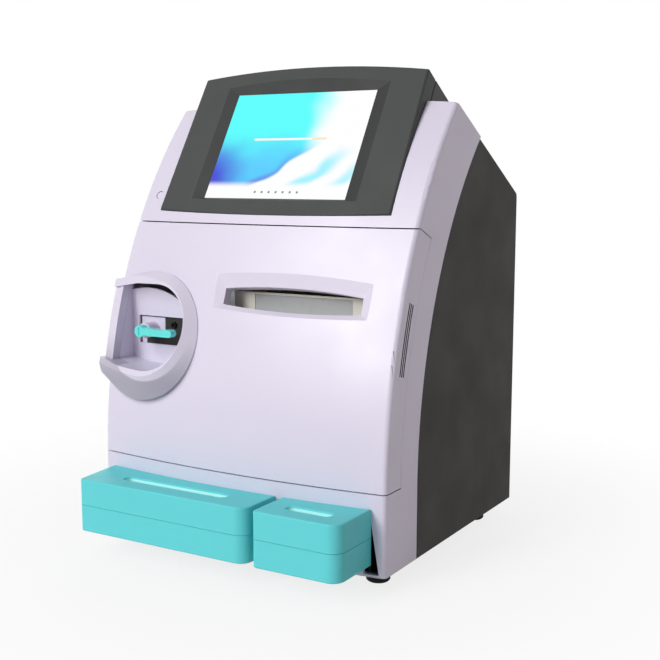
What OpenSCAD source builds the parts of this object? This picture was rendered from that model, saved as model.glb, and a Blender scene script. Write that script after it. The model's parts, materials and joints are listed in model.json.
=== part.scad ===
// Benchtop blood gas analyzer, in millimetres, +Z up, front towards -Y.
// The origin is on the table, under the middle of the footprint.

/* [Body] */
// Width over the side walls
body_w = 340; // [320:1:380]
// Depth from the front edge of the sides to the back
body_d = 310; // [295:1:340]
// Height of the feet
foot_h = 15; // [11:0.5:15]
// Wall of the moulded shells
wall = 3; // [2.5:0.1:3.5]
// Radius of the front as seen from the side
front_r = 550; // [520:1:620]
// Height where the front starts to lean back
lean_z = 87; // [84:0.5:90]
// How far the middle of the front bows out past its side edges
bulge = 11.5; // [9:0.5:14]
// Rounding of the upright front edges
corner_r = 5; // [4:0.5:7]
// Depth of the pale front frame along the sides
band_d = 65; // [58:1:75]
// Height of the rear edge of the roof
back_h = 367; // [355:1:380]
// Slope of the roof, in degrees
roof_pitch = 28.4; // [26:0.1:30]
// Rounding of the rear edge of the roof
roof_edge_r = 6; // [3:0.5:10]

/* [Front cover] */
// Height of the seam under the cover
cover_z0 = 95; // [94:0.5:100]
// Height of the seam over the cover
cover_z1 = 338; // [332:1:342]
// Width of the seams above and below the cover
seam = 1.2; // [0.8:0.1:2]
// How far the cover wraps round the sides
cover_wrap = 30; // [26:1:36]
// Fall of the upper seam along the sides, in degrees
seam_fall = 24; // [15:1:30]
// Diameter of the guide pins that the cover slides on
guide_d = 8; // [6:0.5:9]
// Distance of the guide pins from the sides
guide_inset = 25; // [22:0.5:27]
// Distance of the guide pins from the upper and lower seam
guide_edge = 19; // [17:0.5:22]
// Height of the middle of the side grip
grip_z = 235; // [220:1:240]
// Height of the side grip
grip_h = 67; // [50:1:90]
// Width of one groove of the side grip
grip_groove = 2; // [1.5:0.1:2.5]

/* [Sampling recess] */
// Distance of the centre of the recess from the left side
port_inset = 61.5; // [60:0.5:64]
// Height of the centre of the recess
port_z = 228.5; // [225:0.5:232]
// Radius of the recess
port_r = 46; // [44:0.5:47]
// Radius of the collar where it meets the cover
collar_r = 68; // [62:1:70]
// How far the collar stands out of the cover
collar_out = 10.5; // [8:0.5:14]
// Thickness of the collar's rim
rim_t = 6.5; // [5:0.5:8]
// How much further than the cover the rim leans back, in degrees
rim_lean = 4; // [2:0.5:5]
// Width of the upright strip left of the recess
post_w = 11.5; // [10:0.5:13]
// How far this strip stands out of the cover
post_out = 8; // [5:0.5:9]
// Depth of the back of the recess behind the front edge
port_depth = 35; // [33:0.5:37]
// Width of the window in the back of the recess
window_w = 69; // [66:1:71]
// Height of the window in the back of the recess
window_h = 30; // [28:0.5:32]
// Diameter of the lever's hub
hub_d = 12.5; // [11:0.5:14]
// Reach of the lever from its pivot
lever_l = 43; // [40:1:48]
// Height of the lever's arm
lever_h = 8; // [6:0.5:9]
// Diameter of the lever's shaft
shaft_d = 6; // [4:0.5:7]

/* [Printer] */
// Distance of the centre of the printer slot from the right side
slot_inset = 119.5; // [118:0.5:124]
// Height of the centre of the printer slot
slot_z = 272; // [270:0.5:276]
// Width of the slot at the face of the cover
slot_w = 173; // [160:1:176]
// Height of the slot at the face of the cover
slot_h = 34.5; // [30:0.5:38]
// Width of the slanted faces round the slot
slot_bevel = 9; // [7:0.5:10]
// Depth of the slanted faces
slot_depth = 4; // [3:0.5:6]
// Bow of the upper and lower edge of the slot
slot_bow = 4; // [1:0.5:5]
// How much lower the inside of the slot lies than its outer edge
slot_drop = 4; // [2:0.5:5]
// Length of the straight throat behind the slanted faces
throat_l = 9; // [8:0.5:11]
// Width of the paper
paper_w = 110; // [100:1:112]
// Diameter of a full paper roll
roll_d = 46; // [36:1:48]
// Diameter of the platen roller
platen_d = 10; // [8:0.5:12]

/* [Monitor] */
// Width of the monitor along its lower edge
monitor_w = 280; // [270:1:284]
// How much narrower the upper edge is
monitor_taper = 5; // [0:0.5:10]
// Length of the monitor along its face
monitor_l = 166; // [160:1:176]
// Depth of the whole monitor
monitor_d = 60; // [54:1:66]
// Depth of the bezel
bezel_d = 20; // [16:0.5:24]
// Lean of the face, in degrees
monitor_tilt = 31; // [29:0.5:33]
// Height of the lower corners of the face
monitor_z = 351.3; // [350:0.5:356]
// How far the lower corners stand in front of the side edges
monitor_proud = 7; // [5:0.5:9]
// Bow of the upper and lower edge
monitor_bow = 7; // [4:0.5:8]
// Bow of the face from side to side
face_bow = 4; // [2:0.5:6]
// Width of the visible screen
screen_w = 171; // [160:1:180]
// Height of the visible screen
screen_h = 128; // [120:1:132]
// Distance of the screen from the lower edge of the face
screen_v = 15; // [13:0.5:20]
// Distance of the standby button from the monitor
button_edge = 4.5; // [3:0.5:8]
// Diameter of the standby button
button_d = 9; // [7:0.5:10]

/* [Reagent packs] */
// How far the packs stand out in front of the side edges
pack_out = 63; // [55:1:75]
// Height of the packs
pack_h = 55; // [52:0.5:56]
// Height of the underside of the packs
pack_z0 = 26; // [24:0.5:26]
// Height of the lower half of a pack
pack_split = 28; // [26:0.5:30]
// Width of the small pack
small_w = 93; // [85:1:110]
// Space between the two packs
pack_gap = 8; // [6:0.5:14]
// Distance of the packs from the sides of the body
pack_inset = 14; // [13:0.5:20]
// How much the outer flank of the large pack draws in
flank_draft = 6; // [0:0.5:9]
// Rounding of the right front corners of the packs
pack_corner_r = 13; // [8:0.5:16]
// Rounding of their left front corners
pack_edge_r = 4; // [2:0.5:6]
// How far the base is cut away beside the small pack
wedge_w = 7.5; // [4:0.5:9]
// Length of a pack behind the front edge
pack_len = 190; // [170:1:200]
// Wall of the packs
pack_t = 2.5; // [2:0.1:3]
// Width of the finger slots
slot_finger_w = 11; // [9:0.5:14]
// Depth of the finger slots
slot_finger_d = 8; // [6:0.5:9]
// Bottles in the large pack
bottle_n = 4; // [3:1:5]

/* [Inside] */
// Thickness of the sheet metal
sheet = 2; // [1.5:0.1:2.5]
// Distance of the bulkhead behind the front edge
bulk_depth = 75; // [73:0.5:78]
// Diameter of the pump's track
pump_d = 54; // [50:1:58]
// Diameter of the pump tubing
tube_d = 5; // [4:0.5:6]
// Number of pump rollers
roller_n = 4; // [3:1:6]
// Number of electrodes
electrode_n = 8; // [5:1:8]
// Spacing of the electrodes
electrode_pitch = 18; // [16:0.5:19]
// Number of valves
valve_n = 6; // [4:1:7]
// Width of the fan
fan_w = 80; // [70:1:80]
// Blades of the fan
blade_n = 7; // [5:1:9]
// Diameter of a foot
foot_d = 24; // [22:1:30]
// Width of the power supply
psu_w = 100; // [90:1:110]
// Depth of the power supply
psu_d = 110; // [100:1:115]
// Height of the power supply
psu_h = 50; // [45:1:55]
// Diameter of the pump motor
motor_d = 42; // [38:1:46]
// Length of the pump motor
motor_l = 48; // [40:1:52]
// Depth of the electrodes' seats
electrode_seat = 14; // [12:0.5:16]
// Height of an electrode's head
electrode_head = 16; // [14:0.5:18]

/* [Hidden] */
$fn = 72;
// Facets of the large front curves
fine = 720;
// Overrun of a cut past the face that it opens
over = 1;
// Running gap between pieces that slide or sit close
gap = 0.3;
// Radial clearance of a shaft in its bore
run = 0.1;

// Overall places
half_w = body_w / 2;
front_y = (pack_out - body_d) / 2;
back_y = front_y + body_d;
axis_y = front_y + front_r;
rear_r = front_r - band_d;
wrap_r = front_r - cover_wrap;
bulge_r = (half_w * half_w + bulge * bulge) / (2 * bulge);
bulge_c = front_r + bulge - bulge_r;
inner_x = half_w - wall;
roof_t = tan(roof_pitch);
sweep = 50;
far = 2 * body_d;
base_top = foot_h + sheet;
bulk_y = front_y + bulk_depth;
bulk_back = bulk_y + sheet;

// Radius of the front skin at a distance x from the middle
function skin_r(x) = bulge_c + sqrt(bulge_r * bulge_r - x * x);
// Y of the front skin at (x, z), inset by t
function skin_y(x, z, t = 0) = axis_y - sqrt(pow(skin_r(x) - t, 2) - pow(max(z - lean_z, 0), 2));
// Lean of the skin at height z, in degrees
function lean(z) = asin(max(z - lean_z, 0) / front_r);
// Height of the roof at y, lowered square to it by t
function roof_z(y, t = 0) = back_h + roof_t * (back_y - y) - t / cos(roof_pitch);
// Radius of an arc that rises by bow over a half chord
function bow_r(half, bow) = (half * half + bow * bow) / (2 * bow);

// Sampling recess
port_x = -half_w + port_inset;
port_y = front_y + port_depth;
post_x = -half_w + post_w;
port_lean = lean(port_z);
port_turn = asin(-port_x / bulge_r);
mouth_lean = port_lean + rim_lean;
mouth_z = port_z + collar_out * sin(mouth_lean);
window_x0 = post_x + 9;
window_z0 = mouth_z - 23;
cup_t = 2.5;
pivot_x = window_x0 + 17.5;
pivot_z = window_z0 + 15.5;
lever_y1 = port_y - 13;
lever_y0 = lever_y1 - 9;
block_x1 = pivot_x + 15.9;
boss_d = shaft_d + 10;
inlet_x = block_x1 + 12.3;
inlet_z = pivot_z + 6;
inlet_d = 6.5;
probe_d = 2;

// Printer
slot_x = half_w - slot_inset;
slot_lean = lean(slot_z);
slot_y = skin_y(slot_x, slot_z);
print_x0 = slot_x - slot_w / 2 + 2;
print_x1 = slot_x + slot_w / 2 - 6;
print_y0 = bulk_y - 25;
print_y1 = bulk_y + 43;
print_z1 = slot_z - 2;
print_z0 = print_z1 - roll_d - 19;
print_mid = (print_x0 + print_x1) / 2;
roll_y = print_y1 - roll_d / 2 - 5;
roll_z = print_z0 + roll_d / 2 + 5;
roll_bore = 14;
spindle_d = roll_bore - 2 * gap;
platen_y = print_y0 + 13;
platen_z = print_z1 - 7 - platen_d / 2;
platen_shaft = 4;

// Monitor
monitor_y = axis_y - sqrt(pow(front_r, 2) - pow(monitor_z - lean_z, 2)) - monitor_proud;
ear_x = monitor_w / 2 + gap;
glass_y = 0.5;
glass_t = 2;
lcd_t = 8;
glass_rim = 4;

// Standby button, on the left ear
button_x = -(ear_x + button_edge + button_d / 2);
button_z = monitor_z + 15;
button_lean = lean(button_z);
button_y = skin_y(button_x, button_z);
button_sink = 1;
button_l = 6;
button_travel = 1.5;

// Reagent packs
pack_z1 = pack_z0 + pack_h;
split_z = pack_z0 + pack_split;
split_gap = 0.4;
small_x1 = half_w - pack_inset;
small_x0 = small_x1 - small_w;
large_x1 = small_x0 - pack_gap;
large_x0 = -half_w + pack_inset;
pack_neck = 8;
pack_front = front_y - pack_out;
pack_back = front_y + pack_len;
chest_z0 = pack_z0 + 4;
chest_z1 = pack_z1 - 4;
neck_z = (chest_z0 + pack_t + split_z - split_gap) / 2;
neck_d = 12;
neck_bore = 5;
needle_d = 3;
bottle_gap = 1.5;
tray_y0 = front_y + 7;
tray_y1 = pack_back + 14;
deck_z0 = pack_z1 + 1;
deck_z1 = deck_z0 + sheet;

// Feet
foot_x = half_w - 24;
foot_front = front_y + 31;
foot_rear = back_y - 50;

// Parts on the bulkhead
pump_x = -half_w + 68;
pump_z = deck_z1 + pump_d / 2 + 16;
pump_y0 = bulk_y - 27;
pump_wall = 5;
roller_d = 9;
roller_r = pump_d / 2 - tube_d - gap - roller_d / 2 - 0.4;
drive_d = 6;
chamber_x0 = -30;
chamber_x1 = chamber_x0 + electrode_n * electrode_pitch + 10;
chamber_y0 = bulk_y - 30;
chamber_z0 = deck_z1 + 42;
chamber_z1 = chamber_z0 + 34;
electrode_d = 12;
valve_z0 = deck_z1 + 10;
valve_z1 = valve_z0 + 18;
valve_d = 14;

// Rear wall and what sits on it
panel_y0 = back_y - 4;
panel_y1 = panel_y0 + sheet;
panel_x = inner_x - 0.2;
panel_z1 = roof_z(panel_y1, wall) - 4;
fan_x = -half_w + 80;
fan_z = panel_z1 - fan_w / 2 - 16;
fan_d = 25;
fan_bore = fan_w - 4;
hub_r = fan_w / 5;
board_x0 = -30;
board_x1 = half_w - 18;
board_z0 = deck_z1 + 70;
board_z1 = panel_z1 - 40;
board_y1 = panel_y0 - 8;
board_t = 1.6;
inlet_w = 28;
inlet_h = 22;
mains_x = -half_w + 50;
mains_z = deck_z1 + 30;
rocker_x = mains_x + 42;
rocker_w = 13;
rocker_h = 20;
rocker_tilt = 10;

// Colours
pale = [0.90, 0.88, 0.95];
charcoal = [0.22, 0.22, 0.22];
dark_grey = [0.32, 0.33, 0.34];
teal = [0.40, 0.85, 0.86];
cream = [0.97, 0.96, 0.89];
grey = [0.65, 0.67, 0.66];
black = [0.07, 0.07, 0.08];
steel = [0.75, 0.76, 0.78];
alloy = [0.80, 0.81, 0.83];
board_green = [0.10, 0.35, 0.22];
clear_tint = [0.75, 0.85, 0.9, 0.4];
screen_blue = [0.45, 0.8, 0.95];
paper_white = [0.96, 0.96, 0.94];

// Helpers

// Box between two corners
module box(a, b) { translate(a) cube(b - a); }
// Flat shape in (y, z), extruded along X about the middle
module along_x(w) { rotate([90, 0, 90]) linear_extrude(w, center = true) children(); }
// Flat shape in (x, z), extruded along Y
module along_y(y0, y1) { translate([0, y1, 0]) rotate([90, 0, 0]) linear_extrude(y1 - y0) children(); }
// Round bar along Y
module bar_y(d, x, z, y0, y1) { translate([x, y1, z]) rotate([90, 0, 0]) cylinder(d = d, h = y1 - y0); }
// Round bar along X
module bar_x(d, y, z, x0, x1) { translate([x0, y, z]) rotate([0, 90, 0]) cylinder(d = d, h = x1 - x0); }
// Flat slot with round ends
module round_slot(w, h) {
  square([w - h, h], center = true);
  for (s = [-1, 1]) translate([s * (w - h) / 2, 0]) circle(d = h);
}

// Section of the front in (radius, x), with its bow and rounded edges
module fascia(inset, r_in) {
  half = half_w - inset;
  big = bulge_r - inset;
  f = max(corner_r - inset, 1);
  edge_x = half - f;
  edge_r = bulge_c + sqrt(pow(big - f, 2) - edge_x * edge_x);
  touch_x = edge_x * big / (big - f);
  intersection() {
    translate([bulge_c, 0]) circle(r = big, $fn = fine);
    translate([r_in, -touch_x]) square([far, 2 * touch_x]);
  }
  translate([r_in, -half]) square([edge_r - r_in, 2 * half]);
  for (s = [-1, 1]) translate([edge_r, s * edge_x]) circle(r = f);
}
// Sweep of such a section round the front's own axis
module lean_back(b0, b1) {
  translate([0, axis_y, lean_z]) rotate([0, 90, 0]) rotate([0, 0, 270 - b1])
    rotate_extrude(angle = b1 - b0, $fn = fine) children();
}
// Section of the skin alone
module skin_section(r_in) {
  difference() {
    fascia(0, r_in);
    fascia(wall, r_in - over);
  }
}
// Solid body of the leaning front, up past the roof
module front_body(inset, r_in) { lean_back(0, sweep) fascia(inset, r_in); }
// Skin of the leaning front
module front_skin(r_in) { lean_back(0, sweep) skin_section(r_in); }
// Skin of the upright part under it, a hair short of it
module base_skin(r_in) {
  translate([0, axis_y, foot_h]) linear_extrude(lean_z - foot_h - 0.02) rotate(-90) skin_section(r_in);
}
// Space over the roof, starting t under it
module above_roof(t = 0) {
  translate([0, back_y, back_h]) rotate([-roof_pitch, 0, 0])
    translate([-body_w, -far, -t]) cube([2 * body_w, 2 * far, body_d]);
}
// Space that the front cover fills, grown by g at the seams and t at its rear edges
module cover_zone(g, t) {
  side_y = skin_y(half_w, cover_z1) + corner_r;
  fall_y = side_y + 2 * cover_wrap;
  fall_z = cover_z1 - 2 * cover_wrap * tan(seam_fall);
  along_x(body_w + 2 * over) difference() {
    polygon([
      [-far, cover_z0 - g], [-far, cover_z1 + g], [side_y, cover_z1 + g],
      [fall_y, fall_z + g], [fall_y, cover_z0 - g]
    ]);
    translate([axis_y, lean_z]) circle(r = wrap_r - t, $fn = fine);
  }
}

// Frame of the monitor: x across, y into it, z up its face
module on_monitor() { translate([0, monitor_y, monitor_z]) rotate([-monitor_tilt, 0, 0]) children(); }
// Outline of the monitor, grown by g
module monitor_outline(g) {
  top_half = (monitor_w - monitor_taper) / 2;
  low_half = monitor_w / 2;
  top_r = bow_r(top_half, monitor_bow);
  low_r = bow_r(low_half, monitor_bow);
  intersection() {
    translate([0, monitor_l + monitor_bow - top_r]) circle(r = top_r + g, $fn = fine);
    translate([0, low_r - monitor_bow]) circle(r = low_r + g, $fn = fine);
    polygon([
      [-low_half - g, -2 * monitor_bow], [low_half + g, -2 * monitor_bow],
      [top_half + g, monitor_l + 2 * monitor_bow], [-top_half - g, monitor_l + 2 * monitor_bow]
    ]);
  }
}
// Whole monitor with its depth, grown by g
module monitor_space(g) { on_monitor() along_y(-2 * face_bow - g, monitor_d + g) monitor_outline(g); }
// Room for the monitor, open to the front
module monitor_room() { on_monitor() along_y(-monitor_l, monitor_d + gap) monitor_outline(gap); }

// Frame of the sampling recess: y square to the cover, tipped back by a further tip
module on_port(tip) {
  translate([port_x, skin_y(port_x, port_z), port_z]) rotate([-port_lean - tip, 0, -port_turn]) children();
}
// Egg-shaped outline of the mouth, running out past the left side
module mouth_outline(g) {
  hull() {
    circle(r = port_r + g);
    translate([-0.41 * port_inset, 0.5]) circle(r = port_r - 1 + g);
    translate([-port_inset, 1.5]) circle(r = port_r - 9 + g);
  }
}
// Outline of the rim's outer edge: widest at the top left, thin at the right
module rim_outline() {
  hull() {
    translate([-rim_t + 3, -1]) circle(r = port_r + rim_t - 1.5);
    translate([-0.41 * port_inset, 2]) circle(r = port_r - 1 + rim_t);
    translate([-port_inset, 2.5]) circle(r = port_r - 9 + rim_t + 1);
  }
}
// The mouth seen from the front, in (x, z)
module port_mouth(g) { translate([port_x, mouth_z]) scale([1, cos(mouth_lean)]) mouth_outline(g); }
// The mouth, cut off straight at the post
module port_pocket(g) {
  intersection() {
    port_mouth(g);
    translate([post_x - g, port_z - 2 * port_r]) square([4 * port_r, 4 * port_r]);
  }
}
// Outer form of the collar, from under the skin to its rim
module collar_form() {
  root = 12;
  hull() {
    on_port(rim_lean) along_y(-collar_out, -collar_out + 0.5) rim_outline();
    on_port(0) along_y(0, root) translate([-port_r * 0.2, -port_r * 0.14]) circle(r = collar_r, $fn = 120);
  }
}

// Frame of the printer slot: y square to the cover
module on_slot() { translate([slot_x, slot_y, slot_z]) rotate([-slot_lean, 0, 0]) children(); }
// How far the skin lies behind the slot's own plane
function slot_sag(x, v) = x * (x + 2 * slot_x) / (2 * bulge_r) + v * v / (2 * front_r);
// Half height of the slot at u from -1 to 1 along it, drawn in by t
function slot_half(u, t) = slot_h / 2 - t + slot_bow * (1 - u * u);
// Point of the upper (s = 1) or lower (s = -1) slanted face, with k from 0 at the skin to 1 at the throat
function slot_point(u, s, k) = let (
    x = u * (slot_w / 2 - k * slot_bevel),
    v = s * slot_half(u, k * slot_bevel) - k * slot_drop
  ) [x, slot_sag(x, v) + k * slot_depth, v];
// Section of the slot at u, from in front of the cover to behind the bezel
function slot_ring(u) = let (
    outside = -0.6,
    back = slot_depth + throat_l + 2 * wall,
    top = slot_point(u, 1, 1),
    low = slot_point(u, -1, 1)
  ) [
    slot_point(u, 1, outside), top, [top[0], back, top[2]],
    [low[0], back, low[2]], low, slot_point(u, -1, outside)
  ];
// Slanted throat of the slot, following the bow of the cover
module slot_throat() {
  n = 24;
  m = 6;
  last = n * m;
  on_slot() polyhedron(
    points = [for (i = [0 : n], p = slot_ring(2 * i / n - 1)) p],
    faces = [
      for (i = [0 : n - 1], j = [0 : m - 1]) let (a = i * m + j, b = i * m + (j + 1) % m)
        each [[a, b, b + m], [a, b + m, a + m]],
      [5, 4, 1], [5, 1, 0], [4, 3, 2], [4, 2, 1],
      [last, last + 1, last + 4], [last, last + 4, last + 5],
      [last + 1, last + 2, last + 3], [last + 1, last + 3, last + 4]
    ]
  );
}

// Guide pins stand at the four corners of the cover
guide_spots = [
  for (s = [-1, 1], z = [cover_z0 + guide_edge, cover_z1 - guide_edge]) [s * (half_w - guide_inset), z]
];

// Plan of one pack's front block in (x, y)
module pack_plan(x0, x1, draft) {
  front_x0 = x0 + draft;
  difference() {
    union() {
      translate([front_x0, pack_front + pack_corner_r])
        square([x1 - front_x0, pack_out - pack_corner_r + wall]);
      translate([front_x0, pack_front + pack_edge_r]) square([pack_corner_r, pack_corner_r]);
      translate([front_x0 + pack_edge_r, pack_front])
        square([x1 - front_x0 - pack_edge_r - pack_corner_r, 2 * pack_corner_r]);
      translate([front_x0 + pack_edge_r, pack_front + pack_edge_r]) circle(r = pack_edge_r);
      translate([x1 - pack_corner_r, pack_front + pack_corner_r]) circle(r = pack_corner_r);
      polygon([[front_x0, pack_front + pack_edge_r], [front_x0 + over, front_y], [x0, front_y]]);
    }
    translate([0, axis_y]) rotate(-90) fascia(-2 * gap, rear_r);
  }
}
// Inside width of a pack's chest: [left, right]
function chest(x0, x1) = [x0 + pack_neck, x1 - pack_neck];
// Front block and the chest behind it, between two heights
module pack_form(x0, x1, draft, z0, z1) {
  c = chest(x0 + draft, x1);
  translate([0, 0, z0]) linear_extrude(z1 - z0) pack_plan(x0, x1, draft);
  box([c[0], pack_front + pack_out / 2, max(z0, chest_z0)], [c[1], pack_back, min(z1, chest_z1)]);
}
// Lower half of a pack, open at the top, with holes for the bottle necks
module pack_lower(x0, x1, draft, necks) {
  c = chest(x0 + draft, x1);
  difference() {
    pack_form(x0, x1, draft, pack_z0, split_z - split_gap);
    box(
      [c[0] + pack_t, pack_front + 3 * pack_t, chest_z0 + pack_t],
      [c[1] - pack_t, pack_back - pack_t, pack_z1]
    );
    for (x = necks) bar_y(neck_d + 2 * gap, x, neck_z, pack_back - 2 * pack_t, pack_back + over);
  }
}
// Upper half of a pack, with the finger slot in its top
module pack_upper(x0, x1, draft, slot_l) {
  c = chest(x0 + draft, x1);
  front_x0 = x0 + draft;
  block_y1 = front_y - bulge;
  difference() {
    pack_form(x0, x1, draft, split_z, pack_z1);
    box([c[0] + pack_t, block_y1, split_z - over], [c[1] - pack_t, pack_back - pack_t, chest_z1 - pack_t]);
    box([c[0] + pack_t, pack_front + 3 * pack_t, split_z - over],
        [c[1] - pack_t, block_y1 + over, pack_z1 - slot_finger_d - pack_t]);
    translate([(front_x0 + x1) / 2, pack_front + 26, pack_z1 - slot_finger_d])
      linear_extrude(slot_finger_d + over) round_slot(slot_l, slot_finger_w);
  }
}
// Opening in the base for one chest
module chest_opening(x0, x1, draft) {
  c = chest(x0 + draft, x1);
  box(
    [c[0] - 2 * gap, front_y - far / 4, chest_z0 - 2 * gap],
    [c[1] + 2 * gap, front_y + 2 * wall, chest_z1 + 2 * gap]
  );
}
// Slanted opening in the base beside the small pack
module base_wedge() {
  z0 = foot_h + sheet + gap;
  along_y(front_y - far / 4, front_y + 2 * wall) polygon([
    [small_x1 - pack_neck, z0], [small_x1 + wedge_w, z0],
    [small_x1 - 2, chest_z1], [small_x1 - pack_neck, chest_z1]
  ]);
}
// Places of the bottle necks across each pack
large_chest = chest(large_x0 + flank_draft, large_x1);
small_chest = chest(small_x0, small_x1);
bottle_pitch = (large_chest[1] - large_chest[0] - 2 * pack_t) / bottle_n;
large_necks = [for (i = [0 : bottle_n - 1]) large_chest[0] + pack_t + (i + 0.5) * bottle_pitch];
small_necks = [(small_chest[0] + small_chest[1]) / 2];
// Bottle lying in a pack, neck to the back
module bottle(x, w) {
  r = 6;
  y0 = front_y + 8;
  y1 = pack_back - pack_t - 12;
  z0 = chest_z0 + pack_t;
  difference() {
    union() {
      translate([x, 0, z0]) linear_extrude(chest_z1 - pack_t - bottle_gap - z0) {
        translate([-w / 2 + r, y0]) square([w - 2 * r, y1 - y0]);
        translate([-w / 2, y0 + r]) square([w, y1 - y0 - 2 * r]);
        for (s = [-1, 1], y = [y0 + r, y1 - r]) translate([s * (w / 2 - r), y]) circle(r = r);
      }
      bar_y(neck_d, x, neck_z, y1 - over, pack_back + 2);
    }
    bar_y(neck_bore, x, neck_z, y1, pack_back + 2 + over);
  }
}

// Shells

module front_frame() {
  color(pale) difference() {
    union() {
      base_skin(rear_r);
      front_skin(rear_r);
      intersection() {
        front_body(0, rear_r);
        union() for (s = [-1, 1]) {
          translate([s * (ear_x + wall / 2), 0, cover_z1 + seam + far / 2])
            cube([wall, far, far], center = true);
          intersection() {
            above_roof();
            translate([s * (ear_x + half_w / 2), 0, back_h]) cube([half_w, 2 * far, far], center = true);
          }
        }
      }
    }
    cover_zone(seam / 2, 0);
    monitor_room();
    above_roof(-wall);
    chest_opening(large_x0, large_x1, flank_draft);
    chest_opening(small_x0, small_x1, 0);
    base_wedge();
    translate([button_x, button_y, button_z]) rotate([-button_lean, 0, 0])
      bar_y(button_d + 2 * gap, 0, 0, -2 * wall, 3 * wall);
  }
}

module front_cover() {
  color(pale) difference() {
    union() {
      difference() {
        intersection() {
          front_skin(rear_r);
          cover_zone(-seam / 2, -gap);
        }
        along_y(-far, port_y) port_pocket(0);
        side_grip();
      }
      intersection() {
        difference() {
          collar_form();
          front_body(wall / 2, rear_r);
          along_y(-far, port_y) port_mouth(0);
        }
        translate([-half_w, -far, 0]) cube([body_w, 2 * far, far]);
      }
      port_post();
    }
    slot_throat();
  }
}
// Raised strip that closes the collar at the left
module port_post() {
  half_h = (port_r - rim_t / 2) * cos(mouth_lean);
  intersection() {
    difference() {
      front_body(-post_out, rear_r);
      front_body(wall / 2, rear_r);
    }
    cover_zone(-seam / 2, -gap);
    box([-half_w, -far, mouth_z - half_h], [post_x, back_y, mouth_z + half_h]);
  }
}
// Curved grooves of the grip in the right side of the cover
module side_grip() {
  mid_r = front_r - 16.5;
  b0 = asin((grip_z - grip_h / 2 - lean_z) / mid_r);
  b1 = asin((grip_z + grip_h / 2 - lean_z) / mid_r);
  for (i = [-1, 0, 1]) lean_back(b0, b1)
    translate([mid_r + i * 1.8 * grip_groove - grip_groove / 2, half_w - wall - over])
      square([grip_groove, wall + 2 * over]);
}

module slot_bezel() {
  w = slot_w / 2 - slot_bevel + 2 * wall;
  h = slot_half(0, slot_bevel - 2 * wall);
  color(pale) difference() {
    intersection() {
      on_slot() box([-w, -slot_depth, -h - slot_drop], [w, slot_depth + throat_l, h - slot_drop]);
      front_body(wall, rear_r);
    }
    slot_throat();
  }
}

module cover_bushes() {
  bush_l = 16;
  color(pale) difference() {
    intersection() {
      union() for (p = guide_spots) {
        y = skin_y(p[0], p[1], wall);
        bar_y(guide_d + 7, p[0], p[1], y - wall, y + bush_l);
      }
      front_body(wall, rear_r);
    }
    for (p = guide_spots) {
      y = skin_y(p[0], p[1], wall);
      bar_y(guide_d + 2 * run, p[0], p[1], y + wall, y + bush_l + over);
    }
  }
}

module guide_pins() {
  color(steel) for (p = guide_spots)
    bar_y(guide_d, p[0], p[1], skin_y(p[0], p[1], wall) + wall + 2, bulk_y);
}

module rear_cover() {
  edge_z = back_h + roof_t * roof_edge_r - roof_edge_r / cos(roof_pitch);
  edge_y = back_y - roof_edge_r;
  front_top = front_y - 10;
  color(charcoal) difference() {
    along_x(body_w) intersection() {
      union() {
        polygon([
          [front_top, foot_h], [back_y, foot_h], [back_y, edge_z],
          [edge_y + roof_edge_r * sin(roof_pitch), edge_z + roof_edge_r * cos(roof_pitch)],
          [front_top, roof_z(front_top)]
        ]);
        translate([edge_y, edge_z]) circle(r = roof_edge_r);
      }
      union() {
        translate([axis_y, lean_z]) circle(r = rear_r - gap, $fn = fine);
        translate([axis_y - rear_r + gap, 0]) square([far, lean_z]);
      }
    }
    along_x(2 * inner_x) polygon([
      [front_top, foot_h - over], [back_y + over, foot_h - over],
      [back_y + over, roof_z(back_y + over, wall)], [front_top, roof_z(front_top, wall)]
    ]);
    monitor_room();
  }
}

module rear_panel() {
  vent_w = 40;
  vent_x = half_w - 70;
  color(charcoal) difference() {
    box([-panel_x, panel_y0, foot_h], [panel_x, panel_y1, panel_z1]);
    translate([fan_x, 0, fan_z]) along_y(panel_y0 - over, panel_y1 + over) difference() {
      circle(d = fan_bore);
      for (a = [0, 60, 120]) rotate(a) square([fan_bore, 3], center = true);
      for (r = [hub_r, fan_bore / 2 - 8]) difference() {
        circle(r = r + 1.5);
        circle(r = r - 1.5);
      }
    }
    for (i = [0 : 5]) translate([vent_x, 0, deck_z1 + 12 + 8 * i])
      along_y(panel_y0 - over, panel_y1 + over) round_slot(2 * vent_w, 4);
    translate([mains_x, 0, mains_z]) along_y(panel_y0 - over, panel_y1 + over)
      square([inlet_w + 2 * gap, inlet_h + 2 * gap], center = true);
    translate([rocker_x, 0, mains_z]) along_y(panel_y0 - over, panel_y1 + over)
      square([rocker_w + 4 + 2 * gap, rocker_h + 4 + 2 * gap], center = true);
    for (p = port_boxes) translate([p[0], 0, p[1]]) along_y(panel_y0 - over, panel_y1 + over)
      square([p[2] + 2 * gap, p[3] + 2 * gap], center = true);
  }
}

module base_plate() {
  color(steel) difference() {
    box([-panel_x, front_y + 6, foot_h], [panel_x, panel_y0, base_top]);
    for (p = foot_spots) translate([p[0], p[1], foot_h - over]) cylinder(d = 5, h = sheet + 2 * over);
  }
}

foot_spots = [for (s = [-1, 1], y = [foot_front, foot_rear]) [s * foot_x, y]];

module feet() {
  edge = 2;
  color(black) for (p = foot_spots) translate([p[0], p[1], 0]) difference() {
    rotate_extrude() polygon([
      [0, 0], [foot_d / 2 - edge, 0], [foot_d / 2, edge], [foot_d / 2 - edge, foot_h], [0, foot_h]
    ]);
    translate([0, 0, 4]) cylinder(d = 4.2, h = foot_h);
  }
}

module foot_screws() {
  color(steel) for (p = foot_spots) translate([p[0], p[1], 0]) {
    translate([0, 0, 5]) cylinder(d = 4, h = base_top - 5);
    translate([0, 0, base_top]) cylinder(d = 8, h = 2.5);
  }
}

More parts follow.
